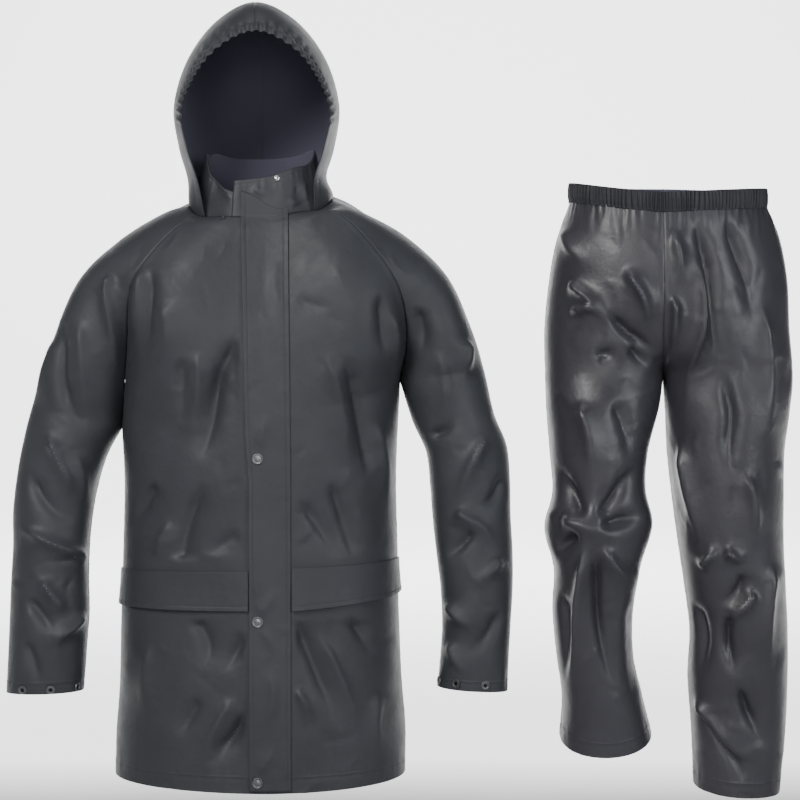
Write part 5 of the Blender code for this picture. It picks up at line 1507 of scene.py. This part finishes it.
for number, (side, out) in enumerate(SIDES.items()):
    for face, forward in FACES.items():
        grid = cloth_grid(eased_leg(side, face), 1.0, LEG_LAST, (3.7 * MM, 4.9 * MM), forward * out,
                          (True, True), (True, True), (HEM_DEPTH,))
        level = soft_step(grid["across"] / (14.0 * MM))
        grid["normal"][..., 0] *= np.where(grid["t"] < CROTCH_ROW + 0.4, level, 1.0)
        grid["normal"] = unit(grid["normal"])
        under = 1.0 - soft_step(grid["down"] / TUCK_DEPTH)
        grid["point"] = grid["point"] + vector(0.0, 0.0, TUCK_RISE * under)
        height = creased(grid, SMALL_LEGS_FRONT, SMALL_LEGS_BACK, ["across", "far", "down"])
        height += waist_gathers(grid["across"], grid["down"], 90 + number) * soft_step(
            grid["far"] / (12.0 * MM)) * soft_step(grid["across"] / (12.0 * MM))
        relief = (seam_relief(grid["across"], grid["down"], 95, 0.4 * MM if side == "left" else 0.0)
                  + seam_relief(grid["far"], grid["down"], 96, 0.4 * MM if face == "back" else 0.0)
                  + hem_relief(grid["foot"], grid["across"], HEM_DEPTH, 97))
        height = height - 1.6 * MM * under
        add_cloth(f"leg_{face}_{side}_cloth", f"leg_{face}_{side}", grid, height, relief, TROUSER_BOTH,
                  push=[(0, -out * SEAM_LAP)])

# %% [markdown]
# ## Waistband
#
# The band is a tube of cloth drawn up by elastic into even narrow pleats, a little deeper in some
# places than in others.

# %%
def leg_top_ring():
    """Points round the top of the legs, their shares of the way round, and its length."""
    fine = np.linspace(0.0, 1.0, 200)
    top = np.zeros_like(fine)
    line = np.concatenate([
        leg_half("right", "front")(fine, top), leg_half("right", "back")(fine[::-1], top),
        leg_half("left", "back")(fine, top), leg_half("left", "front")(fine[::-1], top)])
    share = np.linspace(0.0, 1.0, POINTS_A_GATHER * WAIST_GATHERS, endpoint=False)
    return at_share(line, share), share, run_along(line)[-1]


ring, share, girth = leg_top_ring()
out_of_ring = unit((ring - ring.mean(axis=0)) * (1.0, 1.0, 0.0))
level = np.concatenate([[0.0, 0.02, 0.06], np.linspace(0.12, 0.88, 12), [0.94, 0.98, 1.0]])
share_grid, level_grid = np.meshgrid(share, level)
drift = 0.3 * np.sin(2 * math.pi * share_grid * 9.0) + 0.18 * np.sin(2 * math.pi * share_grid * 23.0 + 1.0)
lean = 0.25 * np.sin(2 * math.pi * share_grid * 14.0 + 0.5) * (level_grid - 0.5)
wave = 0.5 + 0.5 * np.cos(2 * math.pi * (share_grid * WAIST_GATHERS + drift + lean))
deep = 3.0 * MM * (0.75 + 0.25 * np.sin(2 * math.pi * share_grid * 17.0))
rows_line = np.exp(-((level_grid - 0.5) / 0.04) ** 2) + np.exp(-((level_grid - 0.12) / 0.03) ** 2)
bulge = 0.9 * MM * np.sin(math.pi * level_grid) - 0.5 * MM * rows_line
out_by = wave ** 0.8 * deep * (0.8 + 0.2 * np.sin(math.pi * level_grid)) + bulge
lift = vector(0.0, 0.0, 0.8 * MM + WAISTBAND_HEIGHT * level_grid)
outer = ring[None] + out_of_ring[None] * out_by[..., None] + lift
inner = ring[None] + out_of_ring[None] * (0.6 * out_by - WALL)[..., None] + lift
waistband = wall_mesh("waistband_cloth", outer, inner, share_grid * girth, level_grid * WAISTBAND_HEIGHT,
                      [BAND_CLOTH, KNIT_BACK], ring=True)
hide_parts("waistband")
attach(waistband, "root")
print("waistband girth", round(float(girth), 3), "triangles", 2 * len(waistband.data.polygons))

# %% [markdown]
# ## Stitching
#
# Short thread stitches lie in the dips left for them along the hems, flaps and cuffs.

# %%
def stitch_mesh(name, lines):
    """All stitches along lines of points with normals, each a small pointed bar of thread."""
    verts = []
    faces = []
    for points, normals in lines:
        reach = run_along(points)
        starts = np.arange(1.0 * MM, reach[-1] - STITCH_PITCH, STITCH_PITCH)
        for begin in starts:
            spots = [begin + STITCH_PITCH * share for share in (0.0, 0.2, 0.58, 0.78)]
            path = [np.array([np.interp(spot, reach, points[:, axis]) for axis in range(3)])
                    for spot in spots]
            up = np.array([np.interp(begin, reach, normals[:, axis]) for axis in range(3)])
            run = path[3] - path[0]
            run /= np.linalg.norm(run)
            sideways = np.cross(run, up)
            base = len(verts)
            verts.append(path[0] - up * 0.15 * MM)
            for spot in path[1:3]:
                for shift_side, shift_up in ((0.32, 0.0), (0.0, 0.42), (-0.32, 0.0), (0.0, -0.2)):
                    verts.append(spot + sideways * shift_side * MM + up * shift_up * MM)
            verts.append(path[3] - up * 0.15 * MM)
            for n in range(4):
                after = (n + 1) % 4
                faces.append((base, base + 1 + after, base + 1 + n))
                faces.append((base + 1 + n, base + 1 + after, base + 5 + after, base + 5 + n))
                faces.append((base + 9, base + 5 + n, base + 5 + after))
    mesh = bpy.data.meshes.new(name)
    mesh.from_pydata([tuple(vert) for vert in verts], [], faces)
    mesh.polygons.foreach_set("use_smooth", np.ones(len(faces), dtype=bool))
    mesh.materials.append(THREAD)
    mesh.uv_layers.new(name="cloth")
    made = bpy.data.objects.new(name, mesh)
    scene.collection.objects.link(made)
    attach(made, "root")
    print(name, "stitches", len(verts) // 10)
    return made


def row_line(name, key, distance, skip=3):
    """Points and normals of a piece's grid along the row at that distance."""
    grid = GRIDS[name]
    row = int(np.abs(grid[key][:, 0] - distance).argmin())
    return grid["outer"][row, skip:-skip], grid["normal"][row, skip:-skip]


def column_line(name, key, distance, skip=3):
    """Points and normals of a piece's grid down the column at that distance."""
    grid = GRIDS[name]
    column = int(np.abs(grid[key][0] - distance).argmin())
    return grid["outer"][skip:-skip, column], grid["normal"][skip:-skip, column]


jacket_lines = [row_line(f"{piece}_cloth", "foot", HEM_DEPTH - HEM_STITCH_IN)
                for piece in ("front_right", "front_left", "back")]
jacket_lines += [row_line(f"sleeve_{side}_cloth", "foot", CUFF_DEPTH - HEM_STITCH_IN) for side in SIDES]
jacket_lines += [row_line(f"pocket_flap_{side}_cloth", "foot", POCKET_STITCH_UP) for side in SIDES]
jacket_lines += [column_line("storm_flap_cloth", "across", FLAP_STITCH_IN),
                 column_line("storm_flap_cloth", "far", FLAP_STITCH_IN)]
stitch_mesh("jacket_stitches", jacket_lines)
leg_lines = [row_line(f"leg_{face}_{side}_cloth", "foot", HEM_DEPTH - HEM_STITCH_IN)
             for face in FACES for side in SIDES]
stitch_mesh("trouser_stitches", leg_lines)

# %% [markdown]
# ## Snaps and studs
#
# Each kind of snap is turned once, from a short cylinder inset and bevelled in edit mode, and then
# set on the cloth at its place in the frame, square to the cloth there.

# %%
def metal(name, colour, rough):
    """A metal with slow changes of roughness over it."""
    made = material(name, None, None, Base_Color=(*colour, 1.0), Metallic=1.0, Roughness=rough)
    nodes, links = made.node_tree.nodes, made.node_tree.links
    place_in = nodes.new("ShaderNodeTexCoord").outputs["Object"]
    worn = ranged(nodes, links, noise(nodes, links, place_in, 900.0, 3.0), rough - 0.08, rough + 0.12)
    links.new(worn, nodes["Principled BSDF"].inputs["Roughness"])
    return made


SNAP_METAL = metal("snap metal", (0.24, 0.24, 0.25), 0.34)
# Painted shade: a near-black metal for the sunken centres of the sockets and small studs, standing in for
# the shade in their holes
SNAP_RECESS_SHADE = metal("snap recess shade", (0.035, 0.035, 0.038), 0.5)
STUD_METAL = metal("stud metal", (0.62, 0.62, 0.63), 0.22)


def turned_snap(name, radius, height, insets, finish, centre_finish, bevel=0.3 * MM):
    """A snap turned from a cylinder: insets are (inwards, upwards) steps of its top face."""
    bpy.ops.object.select_all(action="DESELECT")
    bpy.ops.mesh.primitive_cylinder_add(vertices=40, radius=radius, depth=height,
                                        location=(0.0, 0.0, 0.0))
    made = bpy.context.object
    made.name = name
    bpy.ops.object.mode_set(mode="EDIT")
    bpy.ops.mesh.select_mode(type="FACE")
    bpy.ops.mesh.select_all(action="DESELECT")
    edit = bmesh.from_edit_mesh(made.data)
    max(edit.faces, key=lambda face: face.calc_center_median().z).select = True
    bmesh.update_edit_mesh(made.data)
    made.data.materials.append(finish)
    made.data.materials.append(centre_finish)
    for inwards, upwards in insets:
        bpy.ops.mesh.inset(thickness=inwards, depth=upwards)
    made.active_material_index = 1
    bpy.ops.object.material_slot_assign()
    bpy.ops.object.mode_set(mode="OBJECT")
    rounding = made.modifiers.new("rounding", "BEVEL")
    rounding.width = bevel
    rounding.segments = 3
    rounding.limit_method = "ANGLE"
    rounding.angle_limit = math.radians(35)
    bpy.ops.object.modifier_apply(modifier=rounding.name)
    bpy.ops.object.shade_smooth()
    return made


def cloth_tree(names):
    """A search tree over the outer points of some pieces."""
    verts = []
    faces = []
    for name in names:
        mesh = bpy.data.objects[name].data
        base = len(verts)
        verts += [vert.co.copy() for vert in mesh.vertices]
        faces += [[base + corner for corner in face.vertices] for face in mesh.polygons]
    return BVHTree.FromPolygons(verts, faces)


def node_axis(name):
    """Middle of a snap's frame node and the way it faces, out of the front."""
    points = np.array([vert.co[:] for vert in frame["nodes"][name].data.vertices])
    middle = (points.min(axis=0) + points.max(axis=0)) / 2
    spread = np.linalg.svd(points - points.mean(axis=0), full_matrices=False)[2]
    facing = spread[2] * -np.sign(spread[2][1])
    return Vector(middle), Vector(facing)


def set_snap(pattern, node, tree, height, sink=0.25 * MM):
    """A copy of a turned snap, seated on the cloth in front of its node."""
    middle, facing = node_axis(node)
    hit, normal, _, _ = tree.ray_cast(middle + facing * 0.03, -facing, 0.06)
    foot = hit if hit is not None else middle
    made = bpy.data.objects.new(f"{node}_metal", pattern.data.copy())
    turn = facing.to_track_quat("Z", "Y").to_matrix().to_4x4()
    made.data.transform(Matrix.Translation(foot + facing * (height / 2 - sink)) @ turn)
    scene.collection.objects.link(made)
    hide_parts(node)
    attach(made, "root")


cap = turned_snap("cap pattern", 7.6 * MM, 2.4 * MM,
                  ((1.3 * MM, 0.0), (0.5 * MM, -0.9 * MM), (1.4 * MM, 0.0), (1.6 * MM, 0.5 * MM)),
                  SNAP_METAL, SNAP_METAL)
# The socket's sunken centre takes the near-black metal: painted shade of its hole
socket = turned_snap("socket pattern", 6.4 * MM, 2.2 * MM,
                     ((1.5 * MM, 0.0), (0.4 * MM, -1.1 * MM), (0.9 * MM, 0.0), (0.7 * MM, 0.35 * MM)),
                     SNAP_METAL, SNAP_RECESS_SHADE)
stud = turned_snap("stud pattern", 3.9 * MM, 2.6 * MM,
                   ((0.6 * MM, 0.0), (0.6 * MM, -0.4 * MM), (0.9 * MM, 0.5 * MM)), STUD_METAL, STUD_METAL)
# The small stud's sunken centre takes the near-black metal: painted shade in its recess
small_stud = turned_snap("small stud pattern", 3.1 * MM, 2.2 * MM,
                         ((0.5 * MM, 0.0), (0.5 * MM, -0.4 * MM)), SNAP_METAL, SNAP_RECESS_SHADE)
flap_tree = cloth_tree(["storm_flap_cloth"])
for number in (1, 2, 3):
    set_snap(cap, f"flap_snap_{number}", flap_tree, 2.4 * MM)
for side in SIDES:
    sleeve_tree = cloth_tree([f"sleeve_{side}_cloth"])
    for number in (1, 2, 3):
        set_snap(socket, f"cuff_snap_{side}_{number}", sleeve_tree, 2.2 * MM)
set_snap(stud, "collar_stud", cloth_tree(["collar_cloth"]), 2.6 * MM)
set_snap(small_stud, "neck_stud", cloth_tree(["front_right_cloth"]), 2.2 * MM)
for pattern in (cap, socket, stud, small_stud):
    bpy.data.objects.remove(pattern)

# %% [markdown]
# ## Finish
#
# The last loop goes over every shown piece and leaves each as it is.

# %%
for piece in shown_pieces():
    if piece.name.startswith(("leg_", "waistband", "trouser_")):
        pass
    elif piece.name.startswith(("collar_stud", "neck_stud")):
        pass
    elif piece.name.endswith("_metal"):
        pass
    else:
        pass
